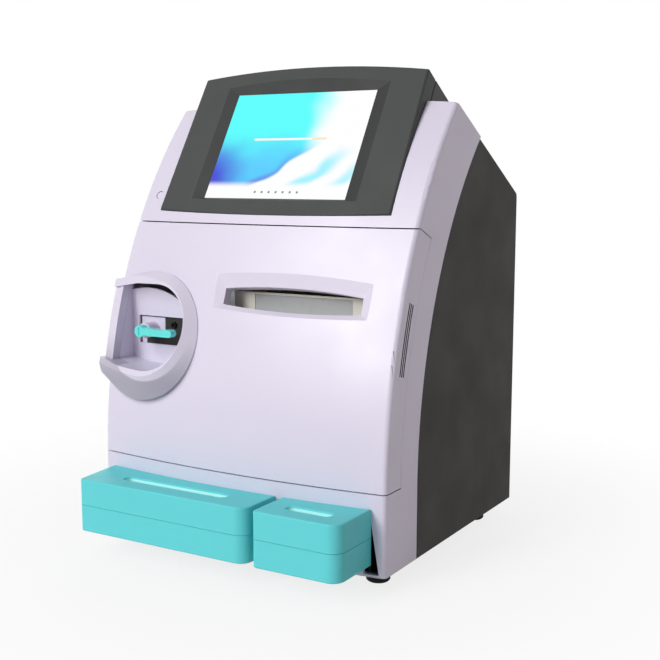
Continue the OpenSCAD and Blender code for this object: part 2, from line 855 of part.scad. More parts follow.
module bay_tray() {
  floor_z = chest_z0 - gap;
  ribs = [
    large_chest[0] + 10, (large_chest[0] + large_chest[1]) / 2, large_chest[1] - 10,
    small_chest[0] + 10, small_chest[1] - 10
  ];
  walls = [
    large_chest[0] - sheet - 2 * gap, large_chest[1] + 2 * gap,
    small_chest[0] - sheet - 2 * gap, small_chest[1] + 2 * gap
  ];
  color(grey) difference() {
    union() {
      box([walls[0], tray_y0, floor_z - sheet], [walls[3] + sheet, tray_y1, floor_z]);
      for (x = ribs) box([x - sheet, tray_y0, base_top], [x + sheet, tray_y1, floor_z - sheet / 2]);
      for (x = walls) box([x, tray_y0, base_top], [x + sheet, tray_y1, deck_z0]);
      box([walls[0], tray_y1 - sheet, base_top], [walls[3] + sheet, tray_y1, deck_z0]);
    }
    for (p = foot_spots) translate([p[0], p[1], base_top - over]) cylinder(d = 9, h = 3 + over);
  }
}

module deck_plate() {
  color(steel) box([-panel_x, front_y + 8, deck_z0], [panel_x, panel_y0, deck_z1]);
}

module mounting_bulkhead() {
  top_z = cover_z1 - 12;
  color(steel) difference() {
    box([-panel_x, bulk_y, deck_z1], [panel_x, bulk_back, top_z]);
    box([print_x0 - gap, bulk_y - over, print_z0 - gap], [print_x1 + gap, bulk_back + over, print_z1 + gap]);
    bar_y(drive_d + 4, pump_x, pump_z, bulk_y - over, bulk_back + over);
  }
}

// Monitor

module monitor_bezel() {
  face_r = bow_r(monitor_w / 2, face_bow);
  reach = face_bow + 2.5;
  side_slope = 5.8;
  top_slope = 3.3;
  low_slope = 1;
  screen_top = screen_v + screen_h;
  color(dark_grey) on_monitor() difference() {
    intersection() {
      along_y(-2 * face_bow, bezel_d) monitor_outline(0);
      translate([0, 0, -monitor_l / 2]) linear_extrude(2 * monitor_l) intersection() {
        translate([0, face_r - face_bow]) circle(r = face_r, $fn = fine);
        translate([-monitor_w, -monitor_w]) square([2 * monitor_w, monitor_w + bezel_d]);
      }
    }
    intersection() {
      along_x(2 * monitor_w) polygon([
        [glass_y + over, screen_v], [glass_y, screen_v], [glass_y - reach, screen_v - low_slope * reach],
        [glass_y - reach, screen_top + top_slope * reach], [glass_y, screen_top], [glass_y + over, screen_top]
      ]);
      translate([0, 0, -monitor_l / 2]) linear_extrude(2 * monitor_l) polygon([
        [-screen_w / 2, glass_y + over], [-screen_w / 2, glass_y],
        [-screen_w / 2 - side_slope * reach, glass_y - reach],
        [screen_w / 2 + side_slope * reach, glass_y - reach],
        [screen_w / 2, glass_y], [screen_w / 2, glass_y + over]
      ]);
    }
    box([-screen_w / 2 - glass_rim, glass_y, screen_v - glass_rim],
        [screen_w / 2 + glass_rim, bezel_d + over, screen_top + glass_rim]);
  }
}

module touch_screen() {
  r = glass_rim - gap;
  color(screen_blue) on_monitor()
    box(
      [-screen_w / 2 - r, glass_y, screen_v - r],
      [screen_w / 2 + r, glass_y + glass_t, screen_v + screen_h + r]
    );
}

module lcd_module() {
  r = glass_rim - gap;
  color(steel) on_monitor() {
    box([-screen_w / 2 - r, glass_y + glass_t, screen_v - r],
        [screen_w / 2 + r, glass_y + glass_t + lcd_t, screen_v + screen_h + r]);
  }
}

module monitor_back() {
  color(dark_grey) on_monitor() difference() {
    along_y(bezel_d, monitor_d) monitor_outline(0);
    along_y(bezel_d - over, monitor_d - wall) monitor_outline(-wall);
  }
}

module monitor_bracket() {
  w = 80;
  top_z = cover_z1 - 12;
  low = -monitor_bow - gap;
  color(steel) {
    on_monitor() box([-w / 2, bezel_d - 2, low - sheet], [w / 2, monitor_d - 8, low]);
    difference() {
      box([-w / 2, bulk_back, top_z - 40], [w / 2, bulk_back + sheet, monitor_z]);
      on_monitor() translate([-w, -monitor_l, low - sheet / 2]) cube([2 * w, 2 * monitor_l, monitor_l]);
    }
  }
}

module on_button() { translate([button_x, button_y, button_z]) rotate([-button_lean, 0, 0]) children(); }

module standby_button() {
  color(dark_grey) on_button() bar_y(button_d, 0, 0, button_sink, button_sink + button_l);
}

module button_switch() {
  y0 = button_sink + button_l + button_travel + gap;
  color(black) on_button()
    box([-6, y0, -6], [-ear_x - wall - button_x, y0 + 6, 6]);
}

// Sampling station

module sampling_cup() {
  vent_r = 1.75 * port_r;
  color(pale) difference() {
    intersection() {
      along_y(-far, port_y + cup_t) port_pocket(cup_t);
      front_body(wall + gap, rear_r);
    }
    along_y(-far, port_y) port_pocket(0);
    box(
      [window_x0, port_y - over, window_z0],
      [window_x0 + window_w, port_y + cup_t + over, window_z0 + window_h]
    );
    along_y(port_y - over, port_y + cup_t + over) difference() {
      port_pocket(0);
      translate([port_x - port_r * 0.6, mouth_z + port_r * 0.8 - vent_r]) circle(r = vent_r, $fn = 240);
    }
  }
}

chin_x = window_x0 + 8;
chin_z = window_z0 + 7.5;
block_gap = 1.5;
block_x0 = window_x0 + block_gap;
block_z1 = window_z0 + window_h - block_gap;
station_z0 = window_z0 - 3;
station_z1 = window_z0 + window_h + 3;
station_y = port_y + cup_t + gap;

module sampler_block() {
  color(pale) difference() {
    union() {
      box([block_x0, station_y, chin_z + gap], [block_x1 - gap, bulk_y, block_z1]);
      box([block_x0, station_y, station_z0], [chin_x - gap, bulk_y, chin_z + over]);
      bar_y(boss_d, pivot_x, pivot_z, lever_y1 + gap, station_y + over);
    }
    bar_y(shaft_d + 2 * run, pivot_x, pivot_z, lever_y1 - over, bulk_y - 8);
  }
}

module sampler_housing() {
  color(charcoal) difference() {
    union() {
      box([block_x1, station_y, station_z0], [window_x0 + window_w + 3, bulk_y, station_z1]);
      box([chin_x, station_y, station_z0], [block_x1 + over, bulk_y, chin_z]);
    }
    bar_y(inlet_d, inlet_x, inlet_z, station_y - over, station_y + 8);
    bar_y(probe_d + 2 * gap, inlet_x, inlet_z, station_y, bulk_y - 4);
  }
}

module inlet_seal() {
  color(black) difference() {
    bar_y(inlet_d, inlet_x, inlet_z, station_y - 3, station_y + 8);
    bar_y(probe_d + 2 * gap, inlet_x, inlet_z, station_y - 3 - over, station_y + 8 + over);
  }
}

module sample_probe() {
  color(steel) bar_y(probe_d, inlet_x, inlet_z, station_y + 1, bulk_y - 4);
}

module sampling_lever() {
  tip_r = lever_h / 2;
  waist = 1;
  color(teal) difference() {
    along_y(lever_y0, lever_y1) difference() {
      union() {
        translate([pivot_x, pivot_z]) circle(d = hub_d);
        translate([pivot_x, pivot_z - tip_r]) square([lever_l - tip_r, lever_h]);
        translate([pivot_x + lever_l - tip_r, pivot_z]) circle(r = tip_r);
      }
      translate([pivot_x + lever_l * 0.58, pivot_z + tip_r - waist + lever_l]) circle(r = lever_l);
    }
    bar_y(shaft_d, pivot_x, pivot_z, lever_y0 + 2, lever_y1 + over);
    translate([pivot_x, lever_y0, pivot_z]) cube([1.2, 2, hub_d - 4], center = true);
  }
}

module lever_shaft() {
  color(steel) bar_y(shaft_d, pivot_x, pivot_z, lever_y0 + 2, bulk_y - 9);
}

// Measuring section

electrode_spots = [for (i = [0 : electrode_n - 1]) chamber_x0 + 5 + (i + 0.5) * electrode_pitch];
electrode_y = (chamber_y0 + bulk_y) / 2;

module measuring_block() {
  color(alloy) difference() {
    box([chamber_x0, chamber_y0, chamber_z0], [chamber_x1, bulk_y, chamber_z1]);
    for (x = electrode_spots) translate([x, electrode_y, chamber_z1 - electrode_seat])
      cylinder(d = electrode_d + 2 * gap, h = electrode_seat + over);
  }
}

module electrodes() {
  color(grey) for (x = electrode_spots) translate([x, electrode_y, chamber_z1 - electrode_seat]) {
    cylinder(d = electrode_d, h = electrode_seat + over);
    translate([0, 0, electrode_seat]) cylinder(d = electrode_d + 3, h = electrode_head);
    translate([0, 0, electrode_seat + electrode_head]) cylinder(d = electrode_d - 4, h = electrode_head / 2);
  }
}

module chamber_window() {
  color(clear_tint) box([chamber_x0, chamber_y0 - 4, chamber_z0], [chamber_x1, chamber_y0, chamber_z1]);
}

module valve_block() {
  color(alloy) box([chamber_x0, bulk_y - 24, valve_z0], [chamber_x1, bulk_y, valve_z1]);
}

module valve_coils() {
  pitch = (chamber_x1 - chamber_x0) / valve_n;
  color(charcoal) for (i = [0 : valve_n - 1]) {
    x = chamber_x0 + (i + 0.5) * pitch;
    bar_y(valve_d, x, (valve_z0 + valve_z1) / 2, bulk_y - 42, bulk_y - 24);
    bar_y(valve_d / 2, x, (valve_z0 + valve_z1) / 2, bulk_y - 46, bulk_y - 41);
  }
}

// Pump

module pump_body() {
  color(dark_grey) difference() {
    union() {
      bar_y(pump_d + 2 * pump_wall, pump_x, pump_z, pump_y0, bulk_y);
      box([pump_x - pump_d / 2 - pump_wall, bulk_y - 4, pump_z - pump_d / 2 - pump_wall],
          [pump_x + pump_d / 2 + pump_wall, bulk_y, pump_z + pump_d / 2 + pump_wall]);
    }
    bar_y(pump_d, pump_x, pump_z, pump_y0 - over, bulk_y - 6);
    bar_y(drive_d + 2 * run, pump_x, pump_z, bulk_y - 7, bulk_y + over);
    for (s = [-1, 1]) box([pump_x + s * (pump_d / 2 - tube_d / 2) - tube_d, pump_y0 - over, pump_z - pump_d],
                          [pump_x + s * (pump_d / 2 - tube_d / 2) + tube_d, bulk_y - 6, pump_z]);
  }
}

module pump_rotor() {
  color(grey) {
    bar_y(2 * roller_r + 8, pump_x, pump_z, pump_y0 + 2, pump_y0 + 5);
    bar_y(2 * roller_r + 8, pump_x, pump_z, bulk_y - 10, bulk_y - 7);
    bar_y(drive_d, pump_x, pump_z, pump_y0 + 4, bulk_back + 8);
    for (i = [0 : roller_n - 1]) rotate_about_pump(i * 360 / roller_n)
      bar_y(3, pump_x + roller_r, pump_z, pump_y0 + 4, bulk_y - 8);
  }
}
module rotate_about_pump(a) {
  translate([pump_x, 0, pump_z]) rotate([0, a, 0]) translate([-pump_x, 0, -pump_z]) children();
}

module pump_rollers() {
  color(pale) for (i = [0 : roller_n - 1]) rotate_about_pump(i * 360 / roller_n) difference() {
    bar_y(roller_d, pump_x + roller_r, pump_z, pump_y0 + 5 + gap, bulk_y - 10 - gap);
    bar_y(3 + 2 * run, pump_x + roller_r, pump_z, pump_y0, bulk_y);
  }
}

module pump_tube() {
  r = pump_d / 2 - tube_d / 2 - 0.1;
  y = (pump_y0 + bulk_y - 6) / 2;
  drop = pump_d / 2 + pump_wall;
  color(clear_tint) difference() {
    union() {
      translate([pump_x, y, pump_z]) rotate([90, 0, 0])
        rotate_extrude(angle = 180) translate([r, 0]) circle(d = tube_d);
      for (s = [-1, 1]) translate([pump_x + s * r, y, pump_z - drop]) cylinder(d = tube_d, h = drop);
    }
    for (s = [-1, 1]) translate([pump_x + s * r, y, pump_z - drop - over]) cylinder(d = tube_d - 2, h = drop);
  }
}

module pump_motor() {
  color(charcoal) difference() {
    union() {
      bar_y(motor_d, pump_x, pump_z, bulk_back, bulk_back + motor_l);
      bar_y(motor_d / 3, pump_x, pump_z, bulk_back + motor_l - over, bulk_back + motor_l + 4);
    }
    bar_y(drive_d + 2 * run, pump_x, pump_z, bulk_back - over, bulk_back + 10);
  }
}

// Printer

module printer_case() {
  bay_x = paper_w / 2 + 1.5;
  color(cream) difference() {
    box([print_x0, print_y0, print_z0], [print_x1, print_y1, print_z1]);
    box([print_mid - bay_x, print_y0 + 4, print_z0 + 3], [print_mid + bay_x, print_y1 - 3, print_z1 + over]);
    bar_x(platen_shaft + 2 * run, platen_y, platen_z, print_mid - bay_x - 6, print_mid + bay_x + 6);
    bar_x(spindle_d, roll_y, roll_z, print_mid - bay_x - 6, print_mid + bay_x + 6);
    box([print_mid - paper_w / 2 - 2 - gap, print_y0 - over, print_z0 + 8],
        [print_mid + paper_w / 2 + 2 + gap, print_y0 + 1.5, print_z1 - 2]);
  }
}

module paper_cover() {
  color(grey) box([print_mid - paper_w / 2 - 2, print_y0 + 0.4, print_z0 + 8],
                  [print_mid + paper_w / 2 + 2, print_y0 + 1.5, print_z1 - 2.5]);
}

module print_head() {
  bay_x = paper_w / 2 + 1.5;
  z0 = platen_z + platen_d / 2 + gap;
  color(charcoal)
    box([print_mid - bay_x, platen_y - 6, z0], [print_mid + bay_x, platen_y + 10, print_z1 - 1.5]);
}

module platen_roller() {
  bay_x = paper_w / 2 + 1.5;
  color(black) {
    bar_x(platen_d, platen_y, platen_z, print_mid - paper_w / 2, print_mid + paper_w / 2);
    bar_x(platen_shaft, platen_y, platen_z, print_mid - bay_x - 5, print_mid + bay_x + 5);
  }
}

module roll_spindle() {
  bay_x = paper_w / 2 + 1.5;
  color(steel) bar_x(spindle_d, roll_y, roll_z, print_mid - bay_x - 6, print_mid + bay_x + 6);
}

module paper_roll() {
  color(paper_white) difference() {
    bar_x(roll_d, roll_y, roll_z, print_mid - paper_w / 2, print_mid + paper_w / 2);
    bar_x(roll_bore, roll_y, roll_z, print_mid - paper_w, print_mid + paper_w);
  }
}

// Electronics

standoff_spots = [for (x = [board_x0 + 8, board_x1 - 8], z = [board_z0 + 8, board_z1 - 8]) [x, z]];
// Data ports as [x, z, width, height]
port_boxes = [
  [board_x0 + 40, board_z0 + 24, 31, 13], [board_x0 + 84, board_z0 + 24, 16, 14],
  [board_x0 + 112, board_z0 + 24, 15, 8], [board_x0 + 138, board_z0 + 24, 15, 8]
];

module main_board() {
  color(board_green) difference() {
    box([board_x0, board_y1 - board_t, board_z0], [board_x1, board_y1, board_z1]);
    for (p = standoff_spots) bar_y(3.2, p[0], p[1], board_y1 - board_t - over, board_y1 + over);
  }
}

module board_standoffs() {
  color(steel) for (p = standoff_spots) bar_y(7, p[0], p[1], board_y1, panel_y0);
}

module data_ports() {
  color(steel) for (p = port_boxes) difference() {
    box([p[0] - p[2] / 2, board_y1, p[1] - p[3] / 2], [p[0] + p[2] / 2, panel_y1 + 0.5, p[1] + p[3] / 2]);
    box([p[0] - p[2] / 2 + 1.2, board_y1 + 3, p[1] - p[3] / 2 + 1.2],
        [p[0] + p[2] / 2 - 1.2, panel_y1 + over, p[1] + p[3] / 2 - 1.2]);
  }
}

module power_supply() {
  psu_x = -half_w + 22;
  psu_y = back_y - 160;
  psu_z = deck_z1 + psu_h;
  pitch = psu_w / 8;
  color(steel) difference() {
    box([psu_x, psu_y, deck_z1], [psu_x + psu_w, psu_y + psu_d, psu_z]);
    for (i = [1 : 7])
      box([psu_x + i * pitch, psu_y + pitch, psu_z - over],
          [psu_x + (i + 0.4) * pitch, psu_y + psu_d - pitch, psu_z + over]);
  }
}

module fan_frame() {
  color(black) translate([fan_x, 0, fan_z]) {
    along_y(panel_y0 - fan_d, panel_y0) difference() {
      square(fan_w, center = true);
      circle(d = fan_bore);
      for (sx = [-1, 1], sz = [-1, 1])
        translate([sx * (fan_w / 2 - 5), sz * (fan_w / 2 - 5)]) circle(d = 4.3);
    }
    along_y(panel_y0 - fan_d, panel_y0 - fan_d + 3) {
      circle(r = hub_r);
      for (a = [0, 90]) rotate(a + 45) square([fan_bore + 2, 5], center = true);
    }
    bar_y(3, 0, 0, panel_y0 - fan_d + 2, panel_y0 - fan_d + 12);
  }
}

module fan_rotor() {
  y0 = panel_y0 - fan_d + 3 + 2 * gap;
  y1 = panel_y0 - 3;
  tip_r = fan_bore / 2 - 1.5;
  color(black) translate([fan_x, 0, fan_z]) difference() {
    union() {
      bar_y(2 * hub_r, 0, 0, y0, y1);
      for (i = [0 : blade_n - 1]) rotate([0, i * 360 / blade_n, 0]) intersection() {
        translate([hub_r - 2, (y0 + y1) / 2, 0]) rotate([38, 0, 0])
          translate([0, -1, -fan_w / 4]) cube([tip_r - hub_r + 2, 2, fan_w / 2]);
        bar_y(2 * tip_r, 0, 0, y0, y1);
      }
    }
    bar_y(3 + 2 * run, 0, 0, y0 - over, y0 + 10);
  }
}

module power_inlet() {
  flange = 3;
  pin_w = 2;
  color(black) difference() {
    union() {
      box(
        [mains_x - inlet_w / 2, back_y - 30, mains_z - inlet_h / 2],
        [mains_x + inlet_w / 2, panel_y1 + 0.5, mains_z + inlet_h / 2]
      );
      box([mains_x - inlet_w / 2 - flange, panel_y1, mains_z - inlet_h / 2 - flange],
          [mains_x + inlet_w / 2 + flange, back_y, mains_z + inlet_h / 2 + flange]);
    }
    difference() {
      box([mains_x - inlet_w / 2 + 2, back_y - 18, mains_z - inlet_h / 2 + 2],
          [mains_x + inlet_w / 2 - 2, back_y + over, mains_z + inlet_h / 2 - 2]);
      for (p = [[-7, -2], [0, 2], [7, -2]])
        box(
          [mains_x + p[0] - pin_w / 2, back_y - 19, mains_z + p[1] - 2],
          [mains_x + p[0] + pin_w / 2, back_y - 3, mains_z + p[1] + 2]
        );
    }
  }
}

module switch_frame() {
  w = rocker_w / 2 + 2;
  h = rocker_h / 2 + 2;
  color(black) difference() {
    box([rocker_x - w, back_y - 22, mains_z - h], [rocker_x + w, panel_y1 + 1, mains_z + h]);
    box([rocker_x - rocker_w / 2 - gap, back_y - 19, mains_z - rocker_h / 2 - gap],
        [rocker_x + rocker_w / 2 + gap, back_y + over, mains_z + rocker_h / 2 + gap]);
    bar_x(3 + 2 * run, panel_y1 - 7, mains_z, rocker_x - w + 0.5, rocker_x + w - 0.5);
  }
}

// Rocker, resting on its lower half
module rocker_switch() {
  pivot_y = panel_y1 - 7;
  r = rocker_h / 2 - gap;
  color(charcoal) translate([0, pivot_y, mains_z]) {
    translate([rocker_x, 0, 0]) rotate([-rocker_tilt, 0, 0]) along_x(rocker_w) intersection() {
      circle(r = r);
      polygon([[-1, -2], [-1, 2], [5.5, r], [6.5, r], [4.6, 0], [6.5, -r], [5.5, -r]]);
    }
    translate([0, -pivot_y, -mains_z])
      bar_x(3, pivot_y, mains_z, rocker_x - rocker_w / 2 - 1.2, rocker_x + rocker_w / 2 + 1.2);
  }
}

module panel_screws() {
  color(steel) for (s = [-1, 1], z = [base_top + 10, deck_z1 + 90, panel_z1 - 8])
    bar_y(6, s * (panel_x - 6), z, panel_y1, panel_y1 + 1.5);
}

// Reagent packs

module large_pack_lower() { color(teal) pack_lower(large_x0, large_x1, flank_draft, large_necks); }
module large_pack_upper() {
  color(teal) pack_upper(large_x0, large_x1, flank_draft, (large_x1 - large_x0) * 0.6);
}
module reagent_bottles() { color(paper_white) for (x = large_necks) bottle(x, bottle_pitch - bottle_gap); }
module small_pack_lower() { color(teal) pack_lower(small_x0, small_x1, 0, small_necks); }
module small_pack_upper() { color(teal) pack_upper(small_x0, small_x1, 0, small_w * 0.52); }
module waste_bottle() {
  color(paper_white) for (x = small_necks)
    bottle(x, small_chest[1] - small_chest[0] - 2 * pack_t - bottle_gap);
}
module pack_couplers() {
  color(steel) for (x = concat(large_necks, small_necks)) {
    bar_y(needle_d, x, neck_z, pack_back - 8, tray_y1 - sheet);
    bar_y(10, x, neck_z, tray_y1 - sheet - 5, tray_y1 - sheet);
  }
}

front_frame();
front_cover();
slot_bezel();
cover_bushes();
guide_pins();
rear_cover();
rear_panel();
base_plate();
feet();
foot_screws();
bay_tray();
deck_plate();
mounting_bulkhead();
monitor_bezel();
monitor_back();
lcd_module();
touch_screen();
monitor_bracket();
standby_button();
button_switch();
sampling_cup();
sampler_block();
sampler_housing();
inlet_seal();
sample_probe();
sampling_lever();
lever_shaft();
measuring_block();
electrodes();
chamber_window();
pump_body();
pump_rotor();
pump_rollers();
pump_tube();
pump_motor();
valve_block();
valve_coils();
printer_case();
paper_cover();
print_head();
platen_roller();
roll_spindle();
paper_roll();
main_board();
board_standoffs();
data_ports();
power_supply();
fan_frame();
fan_rotor();
power_inlet();
switch_frame();
rocker_switch();
large_pack_lower();
large_pack_upper();
reagent_bottles();
small_pack_lower();
small_pack_upper();
waste_bottle();
pack_couplers();
panel_screws();
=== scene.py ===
"""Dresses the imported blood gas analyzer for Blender: finishes, softened edges and a pale studio.

Every length is in metres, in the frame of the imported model: X to the right, Y to the back, Z up.
"""

from __future__ import annotations

import json
import logging
import math
from collections.abc import Callable
from dataclasses import dataclass, field
from enum import Enum

import bmesh
import bpy
from mathutils import Matrix, Vector

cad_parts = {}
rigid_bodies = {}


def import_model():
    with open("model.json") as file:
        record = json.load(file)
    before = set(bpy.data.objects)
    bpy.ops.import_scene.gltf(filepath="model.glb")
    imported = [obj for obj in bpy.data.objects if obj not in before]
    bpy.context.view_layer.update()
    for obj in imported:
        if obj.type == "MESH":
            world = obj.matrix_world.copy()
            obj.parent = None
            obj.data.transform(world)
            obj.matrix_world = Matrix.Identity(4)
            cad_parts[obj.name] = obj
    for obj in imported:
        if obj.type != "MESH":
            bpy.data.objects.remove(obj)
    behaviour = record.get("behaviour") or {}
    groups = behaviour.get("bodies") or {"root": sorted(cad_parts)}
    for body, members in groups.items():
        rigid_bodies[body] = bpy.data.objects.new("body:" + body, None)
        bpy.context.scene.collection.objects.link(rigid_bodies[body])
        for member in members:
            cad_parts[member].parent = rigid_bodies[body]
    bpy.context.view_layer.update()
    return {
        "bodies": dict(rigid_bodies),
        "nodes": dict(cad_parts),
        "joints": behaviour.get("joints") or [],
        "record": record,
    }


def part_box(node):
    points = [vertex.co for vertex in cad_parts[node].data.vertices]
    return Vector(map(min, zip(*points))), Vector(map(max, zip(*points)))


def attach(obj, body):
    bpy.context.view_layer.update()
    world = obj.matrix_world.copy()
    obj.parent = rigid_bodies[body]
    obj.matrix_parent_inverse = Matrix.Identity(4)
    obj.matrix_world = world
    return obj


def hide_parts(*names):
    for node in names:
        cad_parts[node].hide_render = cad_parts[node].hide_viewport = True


LOG = logging.getLogger("analyzer")
MM = 0.001
SCREEN_TILT = math.radians(31.0)
Colour = tuple[float, float, float]
Socket = bpy.types.NodeSocket
Tree = bpy.types.NodeTree


class Sheen(Enum):
    """How a finish takes the light: (roughness, specular level)."""

    MATTE = (0.60, 0.18)
    SOFT = (0.52, 0.25)
    SATIN = (0.36, 0.65)
    GLOSS = (0.24, 0.5)
    POLISHED = (0.18, 0.5)


class Lamp(Enum):
    """A far lamp: the direction it shines from, its strength and its spread in degrees."""

    KEY = ((-0.24, -0.90, 0.37), 1.25, 22.0)
    HIGH = ((-0.33, -0.68, 0.65), 1.1, 26.0)
    BACK = ((-0.45, 0.80, 0.40), 0.7, 40.0)


class Tint(Enum):
    """A colour of the screen's picture, in linear values."""

    WHITE = (1.0, 1.0, 1.0, 1)
    AZURE = (0.10, 0.62, 1.0, 1)
    CYAN = (0.10, 1.0, 0.99, 1)
    DUSK = (0.06, 0.08, 0.70, 1)
    BLUE = (0.12, 0.27, 0.82, 1)
    AQUA = (0.16, 0.86, 1.0, 1)
    BAR = (1.0, 0.97, 0.93, 1)
    BAR_END = (1.0, 0.78, 0.62, 1)
    DOT = (0.22, 0.27, 0.33, 1)


def linear(r: int, g: int, b: int) -> Colour:
    """Turns a screen colour of 0 to 255 into Blender's linear values.

    Args:
        r: Red.
        g: Green.
        b: Blue.

    Returns:
        The three linear values.
    """

    def one(c: int) -> float:
        """Converts one channel."""
        v = c / 255
        return v / 12.92 if v <= 0.04045 else ((v + 0.055) / 1.055) ** 2.4

    return one(r), one(g), one(b)


@dataclass(frozen=True)
class Wiring:
    """Adds nodes to one shader tree and links them."""

    tree: Tree

    def node(self, kind: str) -> bpy.types.Node:
        """Adds a shader node of a kind."""
        return self.tree.nodes.new(f"ShaderNode{kind}")

    def spot(self) -> Socket:
        """Gives the place on the object."""
        return self.node("TexCoord").outputs["Object"]

    def feed(self, target: Socket, value: Socket | float | tuple[float, ...]) -> None:
        """Links a value to an input, or sets the input.

        Args:
            target: The input.
            value: A socket, a number or a row of numbers.
        """
        if isinstance(value, Socket):
            self.tree.links.new(value, target)
        else:
            target.default_value = value

    def combine(self, kind: str, a: Socket, b: Socket | float, clamp: bool = False) -> Socket:
        """Works out a value from two others.

        Args:
            kind: The operation.
            a: The first value.
            b: The second value.
            clamp: Whether the result is kept from 0 to 1.

        Returns:
            The result.
        """
        node = self.node("Math")
        node.operation = kind
        node.use_clamp = clamp
        self.feed(node.inputs[0], a)
        self.feed(node.inputs[1], b)
        return node.outputs[0]

    def spread(
        self, value: Socket, old: tuple[float, float], new: tuple[float, float], soft: bool = False
    ) -> Socket:
        """Maps a value from one range to another.

        Args:
            value: What is mapped.
            old: Its range.
            new: The range it comes to.
            soft: Whether both ends are eased.

        Returns:
            The mapped value.
        """
        node = self.node("MapRange")
        node.interpolation_type = "SMOOTHSTEP" if soft else "LINEAR"
        self.feed(node.inputs["Value"], value)
        for key, number in zip(("From Min", "From Max", "To Min", "To Max"), (*old, *new)):
            node.inputs[key].default_value = number
        return node.outputs["Result"]

    def ease(self, value: Socket, none: float, full: float) -> Socket:
        """Makes a mask that rises softly from 0 where the value is none to 1 where it is full."""
        return self.spread(value, (none, full), (0.0, 1.0), soft=True)

    def noise(self, vector: Socket, scale: Socket | float, detail: float) -> Socket:
        """Adds a noise texture.

        Args:
            vector: Where it is read.
            scale: Its scale.
            detail: Its octaves.

        Returns:
            The noise value.
        """
        node = self.node("TexNoise")
        self.feed(node.inputs["Vector"], vector)
        self.feed(node.inputs["Scale"], scale)
        self.feed(node.inputs["Detail"], detail)
        return node.outputs["Fac"]

    def remap(self, vector: Socket, key: str, value: tuple[float, float, float]) -> Socket:
        """Turns or scales a place.

        Args:
            vector: The place.
            key: Rotation or Scale.
            value: The turn or the scale on each axis.

        Returns:
            The new place.
        """
        node = self.node("Mapping")
        self.feed(node.inputs["Vector"], vector)
        self.feed(node.inputs[key], value)
        return node.outputs["Vector"]

    def shift(self, kind: str, vector: Socket, by: tuple[float, float, float]) -> Socket:
        """Works out a place from another one.

        Args:
            kind: The operation.
            vector: The place.
            by: The second operand.

        Returns:
            The new place.
        """
        node = self.node("VectorMath")
        node.operation = kind
        self.feed(node.inputs[0], vector)
        self.feed(node.inputs[1], by)
        return node.outputs["Vector"]

    def split(self, vector: Socket) -> bpy.types.NodeOutputs:
        """Takes a place apart.

        Args:
            vector: The place.

        Returns:
            Its X, Y and Z.
        """
        node = self.node("SeparateXYZ")
        self.feed(node.inputs["Vector"], vector)
        return node.outputs

    def mix(
        self,
        share: Socket,
        a: Socket | tuple[float, ...],
        b: Socket | tuple[float, ...],
        kind: str = "MIX",
    ) -> Socket:
        """Mixes two colours.

        Args:
            share: How much of the second one shows.
            a: The first colour.
            b: The second colour.
            kind: How the second goes over the first.

        Returns:
            The mixed colour.
        """
        node = self.node("Mix")
        node.data_type = "RGBA"
        node.blend_type = kind
        for key, value in (("Factor", share), ("A", a), ("B", b)):
            self.feed(node.inputs[key], value)
        return node.outputs["Result"]

    def either(self, share: Socket, a: Socket, b: Socket) -> Socket:
        """Mixes two shaders.

        Args:
            share: How much of the second one shows.
            a: The first shader.
            b: The second shader.

        Returns:
            The mixed shader.
        """
        node = self.node("MixShader")
        for target, value in zip(node.inputs, (share, a, b)):
            self.feed(target, value)
        return node.outputs["Shader"]

    def group(self, held: Tree, vector: Socket) -> bpy.types.Node:
        """Places a shared group.

        Args:
            held: The group.
            vector: Where it is read.

        Returns:
            Its node.
        """
        node = self.node("Group")
        node.node_tree = held
        self.feed(node.inputs["Vector"], vector)
        return node


